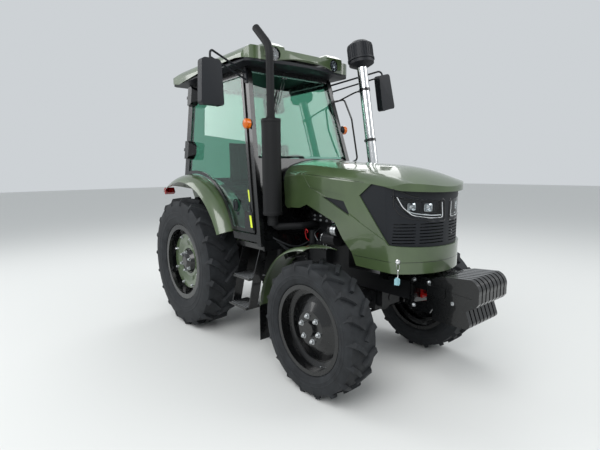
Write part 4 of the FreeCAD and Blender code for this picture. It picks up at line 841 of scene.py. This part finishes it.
signalLamp = {      # rows are (along, share of the radius); each lens ring is (lift, reach) in metres
    "faceSink": 0.012,
    "lens": ((-0.038, 0.90), (-0.034, 0.99), (0.000, 0.99), (0.006, 0.88), (0.010, 0.62), (0.0115, 0.30)),
    "rings": (0.25, 0.5, 0.7),
    "ring": ((0, -0.0015), (0.0012, 0), (0, 0.0015), (-0.002, 0)),
    "foot": ((-0.062, 0.55), (-0.050, 0.85), (-0.0385, 0.97), (-0.0385, 0.6)),
}


def makeSignalLamps():
    low, high = boxOf("signal_lamps")
    middle = (low + high) / 2
    radius = (high.z - low.z) / 2
    ambers, feet = bmesh.new(), bmesh.new()
    for side in (1, -1):
        axis = Vector((0, side, 0))
        face = Vector((middle.x, side * (high.y - signalLamp["faceSink"]), middle.z))
        addTurned(ambers, [(along, radius * share) for along, share in signalLamp["lens"]], face, axis, 40)
        for share in signalLamp["rings"]:
            crown = 0.0112 - 0.006 * share ** 2
            addTurned(ambers, [(crown + lift, radius * share + reach) for lift, reach in signalLamp["ring"]],
                      face, axis, 40, closed=True)
        addTurned(feet, [(along, radius * share) for along, share in signalLamp["foot"]], face, axis, 40)
    amber = finishPiece("signal_lamp_lenses", ambers, "chassis", "amber")
    finishPiece("signal_lamp_feet", feet, "chassis", "plastic")
    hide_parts("signal_lamps")


makeRoofLamps()
makeSignalLamps()
print("lamps made")


# Mirrors: the heads with rounded rims, and the glasses on their rear faces

mirror = {
    "right": (1.10, -0.990, 2.35), "left": (1.27, 1.000, 2.44),        # each glass's middle
    "glassHalf": (0.078, 0.150), "glassCorner": 0.03, "headFrom": 0.84, "rimBend": 0.022,
}


def roundMirrorHeads():
    # The same heads and arms, with the heads' front and rear rims rounded
    work = bmesh.new()
    work.from_mesh(nodes["mirrors"].data)
    bmesh.ops.remove_doubles(work, verts=work.verts[:], dist=0.00002)
    bmesh.ops.dissolve_limit(work, angle_limit=math.radians(1), verts=work.verts[:], edges=work.edges[:])
    work.normal_update()
    rims = []
    for edge in work.edges:
        if len(edge.link_faces) == 2 and all(abs(vert.co.y) > mirror["headFrom"] for vert in edge.verts):
            turns = sorted(abs(face.normal.x) for face in edge.link_faces)
            if turns[0] < 0.6 and turns[1] > 0.9:
                rims.append(edge)
    bmesh.ops.bevel(work, geom=rims, offset=mirror["rimBend"], segments=4, profile=0.6, affect="EDGES",
                    clamp_overlap=True)
    piece = finishPiece("mirror_bodies", work, "chassis", "plastic", 40)
    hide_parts("mirrors")


def makeMirrorGlasses():
    work = bmesh.new()
    for side in ("right", "left"):
        x, y, z = mirror[side]
        place, normal = surfaceAt(["mirrors"], at(x - 0.4, y, z), Vector((1, 0, 0)))
        normal.normalize()
        outline = roundedBox(place, normal, *mirror["glassHalf"], mirror["glassCorner"])
        addPlate(work, outline, normal * -0.001, normal * 0.0015)
    finishPiece("mirror_glasses", work, "chassis", "silvering")


# Wiper: two parallel arms from pivots at the windscreen's top edge, and the blade that lies on the glass

wiper = {
    "pivot": (-0.137, 2.505), "tip": (-0.284, 2.174), "parallel": 0.035, "bladeHalf": 0.19,
    "pivotRows": ((-0.036, 0.009), (-0.004, 0.009), (0.004, 0.011), (0.010, 0.007)),
    "armRadius": 0.0035, "bladeRadius": 0.007, "linkRadius": 0.005,
}


def makeWiper():
    work = bmesh.new()
    glass = ["cab_glass", "cab_frame"]
    (pivotY, pivotZ), (tipY, tipZ) = wiper["pivot"], wiper["tip"]
    for shift in (0.0, wiper["parallel"]):
        start = onFront(glass, pivotY + shift, pivotZ, 0.035)
        end = onFront(glass, tipY + shift * 0.5, tipZ, 0.020)
        addTube(work, [start, start.lerp(end, 0.5), end], wiper["armRadius"], 8)
        addTurned(work, wiper["pivotRows"], start, Vector((1, 0, 0)), 20)
    along = Vector((0, tipY - pivotY, tipZ - pivotZ)).normalized()
    path = []
    for step in range(9):
        share = (step - 4) / 4 * wiper["bladeHalf"]
        path.append(onFront(glass, tipY + along.y * share, tipZ + 0.03 + along.z * share, 0.009))
    addTube(work, path, wiper["bladeRadius"], 8, flat=0.6)
    middle = path[4]
    addTube(work, [middle, middle.lerp(end, 0.6), end], wiper["linkRadius"], 8)
    finishPiece("wiper", work, "chassis", "blackEnamel")


roundMirrorHeads()
makeMirrorGlasses()
makeWiper()
print("mirrors and wiper made")


# Doors: handle, lock and reflecting strips on the front edge

doorFit = {
    "handle": (0.872, 1.330), "plate": (0.030, 0.044),     # (x, z) and the plate's half width and height
    "grip": ((0.004, 0.052, 0.004), (0.002, 0.050, 0.030), (0.002, -0.050, 0.030), (0.004, -0.052, 0.004)),
    "gripRadius": 0.0065, "lock": (0.035, -0.075),          # grip rows are (x, z, out) from the plate's middle
    "strip": ((1.052, 1.478), (1.168, 1.150)), "stripHalf": 0.014, "strips": 3, "stripGap": 0.01,
}


def makeDoorFittings():
    for side, sign in (("right", -1), ("left", 1)):
        names = [f"door_frame_{side}", f"door_glass_{side}"]
        body = f"door_{side}"
        out = Vector((0, sign, 0.1)).normalized()
        x, z = doorFit["handle"]
        halfWidth, halfHeight = doorFit["plate"]
        work = bmesh.new()
        place = sideSurface(names, x, sign, z)[0]
        outline = [place + Vector((math.cos(a) * halfWidth, 0, math.sin(a) * halfHeight)) for a in
                   [math.radians(18 * k) for k in range(20)]]
        addPlate(work, outline, out * -0.001, out * 0.007, 0.002)
        grip = [place + Vector((dx, 0, dz)) + out * reach for dx, dz, reach in doorFit["grip"]]
        addTube(work, rounded(grip, 0.02), doorFit["gripRadius"], 12)
        dx, dz = doorFit["lock"]
        addTurned(work, [(0.0, 0.013), (0.012, 0.013), (0.014, 0.010)], place + Vector((dx, 0, dz)), out, 24)
        finishPiece(f"door_handle_{side}", work, body, "plastic")
        (topX, topZ), (lowX, lowZ) = doorFit["strip"]
        count, gap = doorFit["strips"], doorFit["stripGap"]
        for number in range(count):
            ends = [number / count + gap, (number + 1) / count - gap]
            corners = []
            for share, edge in ((ends[0], -1), (ends[0], 1), (ends[1], 1), (ends[1], -1)):
                x = topX + (lowX - topX) * share + edge * doorFit["stripHalf"]
                corners.append(sideSurface(names, x, sign, topZ + (lowZ - topZ) * share)[0])
            strip = bmesh.new()
            addPlate(strip, corners, out * 0.0005, out * 0.0022, 0.0004, 1)
            finish = "plastic" if number == 1 else "reflectiveYellow"
            finishPiece(f"door_strip_{side}_{number}", strip, body, finish)


makeDoorFittings()
print("door fittings made")


# Exhaust bands, snorkel clamps and bracket, and the pre-cleaner's ribs

pipework = {
    "exhaust": (1.295, -0.545), "bands": (1.285, 2.050), "bandHalf": 0.011,
    "bandRadii": (0.0806, 0.0825, 0.0840),              # at the muffler's skin, the edge and the crown
    "clips": ((1.205, 0.049), (2.085, 0.0375)), "clipHalf": 0.010, "clipInner": 0.034,     # (z, radius)
    "snorkelTop": (1.344, 0.520, 2.615), "snorkelLow": (1.495, 0.520, 1.713),
    "clampHeights": (2.401, 1.920), "clampHalf": 0.014, "clampRadii": (0.0492, 0.0525),
    "rail": (1.30, 0.530, 2.345), "bracketRadius": 0.008,
    "lidAhead": 0.145, "ribReach": 0.1205, "ribHalf": (0.0025, 0.055), "ribs": 30,
}


def makePipework():
    work = bmesh.new()
    upright = Vector((0, 0, 1))
    centre = at(*pipework["exhaust"], 0)
    half = pipework["bandHalf"]
    skin, edge, crown = pipework["bandRadii"]
    for z in pipework["bands"]:
        addTurned(work, [(z - half, skin), (z - half, edge), (z - half * 0.5, crown), (z + half * 0.5, crown),
                         (z + half, edge), (z + half, skin)], centre, upright, 56, closed=True)
    half, inner = pipework["clipHalf"], pipework["clipInner"]
    for z, radius in pipework["clips"]:
        addTurned(work, [(z - half, inner), (z - half, radius), (z + half, radius), (z + half, inner)],
                  centre, upright, 40, closed=True)
    finishPiece("exhaust_bands", work, "chassis", "exhaustPaint")

    top, bottom = at(*pipework["snorkelTop"]), at(*pipework["snorkelLow"])
    axis = (top - bottom).normalized()

    def onSnorkel(z):
        return bottom + (top - bottom) * ((z - bottom.z) / (top.z - bottom.z))

    work = bmesh.new()
    half = pipework["clampHalf"]
    inner, outer = pipework["clampRadii"]
    for z in pipework["clampHeights"]:
        place = onSnorkel(z)
        addTurned(work, [(-half, inner), (-half, outer), (half, outer), (half, inner)], place, axis, 48,
                  closed=True)
        ear = place + Vector((-0.052, 0, 0))
        addBlock(work, ear + Vector((-0.022, -0.008, -0.012)), ear + Vector((0.004, 0.008, 0.012)), 0.002)
        addTube(work, [ear + Vector((-0.012, -0.016, 0)), ear + Vector((-0.012, 0.016, 0))], 0.004, 12)
    ear = onSnorkel(pipework["clampHeights"][0]) + Vector((-0.06, 0, 0))
    rail = surfaceAt(["cab_frame"], at(*pipework["rail"]), Vector((-1, 0, 0)))[0]
    path = [ear, ear + Vector((-0.06, 0.003, 0)), rail + Vector((0.05, 0, 0)), rail]
    addTube(work, rounded(path, 0.03), pipework["bracketRadius"], 12)
    finishPiece("snorkel_clamps", work, "chassis", "blackEnamel")

    lid = top + axis * pipework["lidAhead"]
    rib = bmesh.new()
    side, up = frameAlong(axis)
    foot = lid + side * pipework["ribReach"]
    thick, tall = pipework["ribHalf"]
    outline = [foot + up * thick * across + axis * tall * along for across, along in
               ((1, -1), (-1, -1), (-1, 1), (1, 1))]
    addPlate(rib, outline, side * -0.002, side * 0.0035, 0.001, 1)
    ribs = repeated(rib, ringOfCopies, "plastic", {"Count": pipework["ribs"], "Centre": lid, "Axis": axis})
    finishPiece("cleaner_ribs", ribs, "chassis", "plastic")


makePipework()
print("pipework made")


# Engine side: filter sleeves, steel fuel lines, nuts, the oil cap with its dipstick, and three cables

engineSide = {
    "cans": ((1.772, 1.800, 1.157, 0.0466), (1.803, 1.829, 1.157, 0.0470)),      # x from, x to, z, radius
    "canSkin": 0.0458, "canMiddle": 0.046,
    "sleeve": (1.560, 0.742, 0.806, 0.0428),                                     # x, z from, z to, radius
    "sleeveSkin": 0.0418, "sleeveMiddle": 0.042,
    "lineFeet": (1.500, 1.535, 1.570, 1.605), "lineHeads": (1.460, 1.555, 1.650, 1.745), "lineRadius": 0.0032,
    "lineFoot": (-0.205, 0.958), "lineTop": ((-0.222, 1.085), (-0.150, 1.128), (-0.130, 1.128)),     # (y, z)
    "lineRise": (0, -0.006, 0.075), "lineNut": ((0, 0.008), (0.014, 0.008), (0.018, 0.005)),
    "nutRow": (1.450, 0.075, 5), "nutHeights": (1.210, 1.248), "nutSize": (0.016, 0.010),
    "cap": (1.400, -0.150),                                                      # (x, y)
    "capRows": ((-0.002, 0.020), (0.024, 0.020), (0.028, 0.030), (0.044, 0.030), (0.048, 0.024)),
    "stick": (1.400, 1.020), "stickRadius": 0.004,                               # (x, z)
    "stickPath": ((0, 0, 0), (0, -0.03, 0.02), (0.0, -0.045, 0.085), (0.02, -0.050, 0.115),
                  (0.04, -0.045, 0.085), (0.02, -0.040, 0.075)),
    "cables": ((0.00, 0.0, 0.007), (0.03, -0.035, 0.005), (0.055, -0.06, 0.006)),    # inward, lift, radius
}


def makeEngineSide():
    upright = Vector((0, 0, 1))
    cans, lines, nuts = [bmesh.new() for k in range(3)]
    skin = engineSide["canSkin"]
    for x0, x1, z, radius in engineSide["cans"]:
        outer = sideSurface(["engine"], (x0 + x1) / 2, -1, z)[0]
        centre = Vector((axle + x0, outer.y + engineSide["canMiddle"], z))
        length = x1 - x0
        rows = [(0, skin), (0, radius), (length * 0.5, radius + 0.001), (length, radius), (length, skin)]
        addTurned(cans, rows, centre, Vector((1, 0, 0)), 40, closed=True)
    x, low, high, radius = engineSide["sleeve"]
    skin = engineSide["sleeveSkin"]
    outer = sideSurface(["engine"], x, -1, (low + high) / 2)[0]
    centre = Vector((axle + x, outer.y + engineSide["sleeveMiddle"], 0))
    rows = [(low, skin), (low, radius), (high, radius), (high, skin)]
    addTurned(cans, rows, centre, upright, 40, closed=True)
    finishPiece("filter_sleeves", cans, "chassis", "steel")

    for foot, head in zip(engineSide["lineFeet"], engineSide["lineHeads"]):
        start = at(foot, *engineSide["lineFoot"])
        path = [start, start + Vector(engineSide["lineRise"])]
        path += [at(head, y, z) for y, z in engineSide["lineTop"]]
        addTube(lines, rounded(path, 0.03), engineSide["lineRadius"], 8)
        addTurned(nuts, engineSide["lineNut"], start, upright, 6)
    finishPiece("fuel_lines", lines, "chassis", "steel")

    first, step, count = engineSide["nutRow"]
    for z in engineSide["nutHeights"]:
        place = sideSurface(["engine"], first, -1, z)[0]
        single = bmesh.new()
        addNut(single, place, Vector((0, -1, 0)), *engineSide["nutSize"])
        nuts.from_mesh(repeated(single, rowOfCopies, "steel", {"Count": count, "Step": (step, 0, 0)}))
    finishPiece("engine_nuts", nuts, "chassis", "steel", 30)

    cap = bmesh.new()
    foot = surfaceAt(["engine"], at(*engineSide["cap"], 1.5), -upright)[0]
    addTurned(cap, engineSide["capRows"], foot, upright, 24)
    x, z = engineSide["stick"]
    stick = sideSurface(["engine"], x, -1, z)[0]
    path = [stick + Vector(shift) for shift in engineSide["stickPath"]]
    addTube(cap, rounded(path, 0.02), engineSide["stickRadius"], 8)
    finishPiece("oil_cap", cap, "chassis", "redPlastic")

    cables = bmesh.new()
    for drop, lift, radius in engineSide["cables"]:
        path = [at(1.262, -0.520 + drop, 1.060 + lift), at(1.300, -0.500 + drop, 1.040 + lift),
                at(1.335, -0.400, 0.985 + lift), at(1.325, -0.290, 0.960 + lift),
                at(1.345, -0.200, 0.990 + lift), at(1.360, -0.160, 1.020 + lift)]
        addTube(cables, rounded(path, 0.05), radius, 10)
    finishPiece("engine_cables", cables, "chassis", "rubber")


makeEngineSide()
print("engine side made")


# Step treads: serrated steel bars on each step

stepTreads = {
    "steps": ((0.690, 0.490), (0.430, 0.530)),                   # z, |y| of the inner edge
    "ends": (0.848, 1.106), "bar": 0.005, "teeth": 22, "bars": 8, "barStep": 0.024, "firstBar": 0.016,
    "valley": 0.0015, "peak": 0.0065, "sink": 0.001,             # heights over the step's top
}


def makeStepTreads():
    whole = bmesh.new()
    low, high = stepTreads["ends"]
    pitch = (high - low) / stepTreads["teeth"]
    half = stepTreads["bar"] / 2
    for z, near in stepTreads["steps"]:
        for side in (1, -1):
            bar = bmesh.new()
            y = side * (near + stepTreads["firstBar"]) - half
            outline = []
            for tooth in range(stepTreads["teeth"]):
                x = low + pitch * tooth
                outline += [at(x, y, z + stepTreads["valley"]), at(x + pitch * 0.5, y, z + stepTreads["peak"])]
            outline.append(at(high, y, z + stepTreads["valley"]))
            outline += [at(x, y, z - stepTreads["sink"]) for x in (high, low)]
            addPlate(bar, outline, Vector((0, 0, 0)), Vector((0, 2 * half, 0)))
            step = (0, side * stepTreads["barStep"], 0)
            whole.from_mesh(repeated(bar, rowOfCopies, "steel", {"Count": stepTreads["bars"], "Step": step}))
    finishPiece("step_treads", whole, "chassis", "steel", 25)


makeStepTreads()


# Front ballast: a pin on each side of the weights, bolts on the carrier, and the red tow jaw inside it

ballast = {
    "pin": (2.790, 0.762), "plateBolts": ((2.470, 0.860), (2.470, 0.670), (2.590, 0.860)),     # (x, z)
    "pinRows": ((-0.002, 0.013), (0.004, 0.013), (0.005, 0.009), (0.001, 0.008), (0.001, 0.003)),
    "boltSize": (0.022, 0.013),
    "jawPlates": (((2.475, -0.060, 0.725), (2.580, 0.060, 0.740)),
                  ((2.475, -0.060, 0.770), (2.580, 0.060, 0.785)),
                  ((2.455, -0.060, 0.700), (2.477, 0.060, 0.810))),
    "jawPin": (2.545, 0, 0.742),
    "jawPinRows": ((-0.045, 0.011), (0.052, 0.011), (0.052, 0.020), (0.060, 0.020)),
}


def makeBallastDetails():
    work = bmesh.new()
    for side in (1, -1):
        out = Vector((0, side, 0))
        x, z = ballast["pin"]
        place = sideSurface(["front_weights"], x, side, z)[0]
        addTurned(work, ballast["pinRows"], place, out, 24)
        for x, z in ballast["plateBolts"]:
            place = sideSurface(["weight_carrier"], x, side, z)[0]
            addNut(work, place, out, *ballast["boltSize"])
    finishPiece("ballast_bolts", work, "chassis", "steel", 30)
    jaw = bmesh.new()
    for low, high in ballast["jawPlates"]:
        addBlock(jaw, at(*low), at(*high), 0.003)
    addTurned(jaw, ballast["jawPinRows"], at(*ballast["jawPin"]), Vector((0, 0, 1)), 24)
    finishPiece("tow_jaw", jaw, "chassis", "redEnamel")


makeBallastDetails()


# Keys: two tags on a chain of stiff wire rings that hangs from the hood's catch

keyTags = {
    "hang": (-0.370, 1.018),                                        # (y, z) of the catch
    "catchRows": ((-0.002, 0.016), (0.004, 0.016), (0.007, 0.012), (0.008, 0.004)),
    "rings": ((0.031, 0.5), (0.082, -0.7)),                         # (drop, turn in radians)
    "wire": 0.0014, "ringHalf": (0.011, 0.030), "ringOut": 0.009,
    "foot": 0.112, "tagHalf": 0.0015, "tags": ((-0.004, 0.5), (0.004, -0.4)),       # (shift, turn in radians)
    "outline": ((-0.008, 0.004), (0.008, 0.004), (0.020, -0.010), (0.019, -0.044), (0.005, -0.052),
                (-0.020, -0.048), (-0.020, -0.010)),
}


def makeKeyTags():
    hang = onNose(["hood_shell"], *keyTags["hang"], 0.002)
    back, inward = nose["slant"]
    out = Vector((back, -inward, 0))
    work = bmesh.new()
    addTurned(work, keyTags["catchRows"], hang, out, 24)
    start = hang + out * keyTags["ringOut"]
    halfWidth, halfHeight = keyTags["ringHalf"]
    for drop, turn in keyTags["rings"]:
        across = Vector((math.cos(turn), math.sin(turn), 0))
        path = []
        for step in range(28):
            angle = 2 * math.pi * step / 28
            path.append(start + across * math.sin(angle) * halfWidth
                        + Vector((0, 0, math.cos(angle) * halfHeight - drop)))
        addTube(work, path, keyTags["wire"], 8, loop=True)
    finishPiece("hood_catch", work, "hood", "chrome")
    tags = bmesh.new()
    half = keyTags["tagHalf"]
    for shift, turn in keyTags["tags"]:
        across = Vector((math.cos(turn), math.sin(turn), 0.1)).normalized()
        face = across.cross(Vector((0, 0, 1))).normalized()
        top = start + Vector((shift, 0, -keyTags["foot"]))
        outline = [top + across * x + Vector((0, 0, z)) for x, z in keyTags["outline"]]
        addPlate(tags, outline, face * -half, face * half, 0.0008, 1)
    finishPiece("key_tags", tags, "hood", "tagPlastic")


makeKeyTags()
print("steps, ballast and keys made")


# Seat: cushion and back blown up as cloth, then sewn with channels

seat = {
    "inset": 0.009, "voxel": 0.012, "pressure": 4.0, "frames": 20, "reach": 0.013,
    "channels": (-0.115, 0.115), "channelDepth": 0.007, "channelWidth": 0.008,
    "backFrom": 1.488,      # height that parts the two CAD cushions
}


def seatPart(isBack):
    # One of the two CAD cushions as its own mesh, drawn in a little on every side
    work = bmesh.new()
    work.from_mesh(nodes["seat_pads"].data)
    other = [vert for vert in work.verts if (vert.co.z > seat["backFrom"]) != isBack]
    bmesh.ops.delete(work, geom=other, context="VERTS")
    low = Vector([min(vert.co[k] for vert in work.verts) for k in range(3)])
    high = Vector([max(vert.co[k] for vert in work.verts) for k in range(3)])
    middle = (low + high) / 2
    for vert in work.verts:
        for k in range(3):
            vert.co[k] = middle[k] + (vert.co[k] - middle[k]) * (1 - 2 * seat["inset"] / (high[k] - low[k]))
    return closeMesh(work, "pad"), low, high


def bakedMesh(holder):
    graph = bpy.context.evaluated_depsgraph_get()
    return bpy.data.meshes.new_from_object(holder.evaluated_get(graph))


def blowUp(holder):
    # Inflates the pad as cloth and keeps each point within reach of where it began
    start = [vert.co.copy() for vert in holder.data.vertices]
    cloth = holder.modifiers.new("cloth", "CLOTH")
    cloth.settings.use_pressure = True
    cloth.settings.uniform_pressure_force = seat["pressure"]
    cloth.settings.effector_weights.gravity = 0.0
    for number in range(1, seat["frames"] + 1):
        bpy.context.scene.frame_set(number)
    swollen = bakedMesh(holder)
    holder.modifiers.remove(cloth)
    bpy.context.scene.frame_set(1)
    for vert, before, after in zip(holder.data.vertices, start, swollen.vertices):
        move = after.co - before
        if move.length > seat["reach"]:
            move = move.normalized() * seat["reach"]
        vert.co = before + move
    bpy.data.meshes.remove(swollen)


def makeSeatPad(name, isBack):
    mesh, low, high = seatPart(isBack)
    holder = bpy.data.objects.new("pad", mesh)
    bpy.context.scene.collection.objects.link(holder)
    remesh = holder.modifiers.new("remesh", "REMESH")
    remesh.mode = "VOXEL"
    remesh.voxel_size = seat["voxel"]
    holder.data = bakedMesh(holder)
    holder.modifiers.remove(remesh)
    blowUp(holder)
    smooth = holder.modifiers.new("smooth", "SUBSURF")
    smooth.levels = 1
    smooth.render_levels = 1
    finished = bakedMesh(holder)
    bpy.data.objects.remove(holder)
    normals = [vert.normal.copy() for vert in finished.vertices]
    for vert, normal in zip(finished.vertices, normals):
        place = Vector([min(max(vert.co[k], low[k] + 0.0005), high[k] - 0.0005) for k in range(3)])
        seen = normal.x > 0.3 if isBack else place.z > (low.z + high.z) / 2
        if seen:
            for channel in seat["channels"]:
                dip = math.exp(-((place.y - channel) / seat["channelWidth"]) ** 2)
                place -= normal * seat["channelDepth"] * dip
        vert.co = place
    piece = finishPiece(name, finished, "chassis", "vinyl", 60)
    return piece


seatPads = [makeSeatPad("seat_cushion", False), makeSeatPad("seat_back", True)]
for pad in seatPads:
    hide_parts("seat_pads")
print("seat made")


# Cab controls: the steering wheel's cap and grip ribs, three levers with boots, and the dials' rings

controls = {
    "centre": (0.790, 0, 1.690), "tilt": 28.0,
    "capRows": ((-0.004, 0.046), (0.006, 0.046), (0.014, 0.036), (0.017, 0.014)),
    "gripRibs": 28, "gripCircle": 0.190, "gripSink": 0.0155,
    "gripRows": ((-0.003, 0.006), (0.0, 0.007), (0.003, 0.006)),
    "levers": ((0.640, 0.300, 1.180, 0.190), (0.560, -0.300, 1.180, 0.150), (0.500, -0.330, 1.180, 0.140)),
    "bootRows": ((0.0, 0.040), (0.012, 0.036), (0.022, 0.020), (0.030, 0.022), (0.042, 0.012)),
    "knobRows": ((-0.012, 0.010), (0.0, 0.018), (0.020, 0.019), (0.034, 0.012)), "leverRadius": 0.006,
    "dials": (-0.075, 0.0, 0.075), "dialsFrom": (0.60, 1.600),
    "dialRows": ((0.0, 0.030), (0.006, 0.030), (0.007, 0.026), (0.003, 0.024), (0.003, 0.006)),
}


def makeControls():
    work = bmesh.new()
    tilt = math.radians(controls["tilt"])
    axis = Vector((-math.sin(tilt), 0, math.cos(tilt)))
    side, up = frameAlong(axis)
    centre = at(*controls["centre"])
    addTurned(work, controls["capRows"], centre, axis, 40)
    for step in range(controls["gripRibs"]):
        angle = 2 * math.pi * step / controls["gripRibs"]
        out = side * math.sin(angle) + up * math.cos(angle)
        grip = centre + out * controls["gripCircle"] - axis * controls["gripSink"]
        addTurned(work, controls["gripRows"], grip, axis, 10)
    for x, y, z, height in controls["levers"]:
        foot = at(x, y, z)
        head = foot + Vector((-0.03, 0, height))
        addTurned(work, controls["bootRows"], foot, Vector((0, 0, 1)), 24)
        addTube(work, rounded([foot, foot + Vector((0.01, 0, height * 0.6)), head], 0.05),
                controls["leverRadius"], 10)
        addTurned(work, controls["knobRows"], head, Vector((-0.2, 0, 1)), 20)
    finishPiece("cab_controls", work, "chassis", "plastic")
    dials = bmesh.new()
    x, z = controls["dialsFrom"]
    for y in controls["dials"]:
        place = surfaceAt(["dash_console"], at(x, y, z), Vector((1, 0, 0)))[0]
        addTurned(dials, controls["dialRows"], place + Vector((0.002, 0, 0)), Vector((-0.9, 0, 0.4)), 32)
    finishPiece("cab_dials", dials, "chassis", "chrome")


makeControls()
print("controls made")


# Camera and studio

camera = {
    "place": (3.3335, -2.678, 1.647),
    "heading": 140.203,     # degrees from +X towards +Y
    "tilt": -7.45,
    "roll": -0.62,
    "lens": 25.4, "sensor": 36.0,      # mm
}


def placeCamera(spec):
    heading, tilt, roll = [math.radians(spec[key]) for key in ("heading", "tilt", "roll")]
    ahead = Vector((math.cos(tilt) * math.cos(heading), math.cos(tilt) * math.sin(heading), math.sin(tilt)))
    right = ahead.cross(Vector((0, 0, 1))).normalized()
    up = right.cross(ahead)
    rolledRight = right * math.cos(roll) + up * math.sin(roll)
    rolledUp = up * math.cos(roll) - right * math.sin(roll)
    data = bpy.data.cameras.new("photoCamera")
    data.lens = spec["lens"]
    data.sensor_width = spec["sensor"]
    holder = bpy.data.objects.new("photoCamera", data)
    bpy.context.scene.collection.objects.link(holder)
    holder.matrix_world = Matrix((
        (rolledRight.x, rolledUp.x, -ahead.x, spec["place"][0]),
        (rolledRight.y, rolledUp.y, -ahead.y, spec["place"][1]),
        (rolledRight.z, rolledUp.z, -ahead.z, spec["place"][2]),
        (0, 0, 0, 1)))
    bpy.context.scene.camera = holder


studio = {
    "sky": "#E9EEF2", "skyStrength": 0.75,
    "floor": "#D9DAD8", "floorHalf": 40.0,
    "lamps": (              # place, aim, width, watts
        ((3.5, -5.5, 6.5), (0.0, 0.0, 1.0), 5.0, 420),
        ((-5.0, -4.5, 5.0), (0.0, 0.0, 1.2), 4.0, 160),
        ((5.5, 4.5, 5.5), (0.0, 0.0, 1.2), 4.0, 180),
        ((-4.0, 4.0, 6.0), (0.0, 0.0, 1.2), 4.0, 120),
    ),
}


def buildStudio(spec):
    world = bpy.data.worlds.new("studioSky")
    world.use_nodes = True
    bpy.context.scene.world = world
    back = world.node_tree.nodes["Background"]
    back.inputs["Color"].default_value = srgb(spec["sky"])
    back.inputs["Strength"].default_value = spec["skyStrength"]
    half = spec["floorHalf"]
    mesh = bpy.data.meshes.new("floor")
    corners = [(-half, -half, 0), (half, -half, 0), (half, half, 0), (-half, half, 0)]
    mesh.from_pydata(corners, [], [(0, 1, 2, 3)])
    floor = bpy.data.objects.new("floor", mesh)
    bpy.context.scene.collection.objects.link(floor)
    material, tree, shader = newFinish("paleFloor", spec["floor"], 0.8)
    mesh.materials.append(material)
    for number, (place, aim, width, watts) in enumerate(spec["lamps"]):
        data = bpy.data.lights.new(f"softbox{number}", "AREA")
        data.shape = "SQUARE"
        data.size = width
        data.energy = watts
        lamp = bpy.data.objects.new(f"softbox{number}", data)
        bpy.context.scene.collection.objects.link(lamp)
        lamp.location = place
        lamp.rotation_euler = (Vector(aim) - Vector(place)).to_track_quat("-Z", "Y").to_euler()


placeCamera(camera)
buildStudio(studio)
bpy.context.scene.view_settings.view_transform = "Standard"
print("camera and studio set")
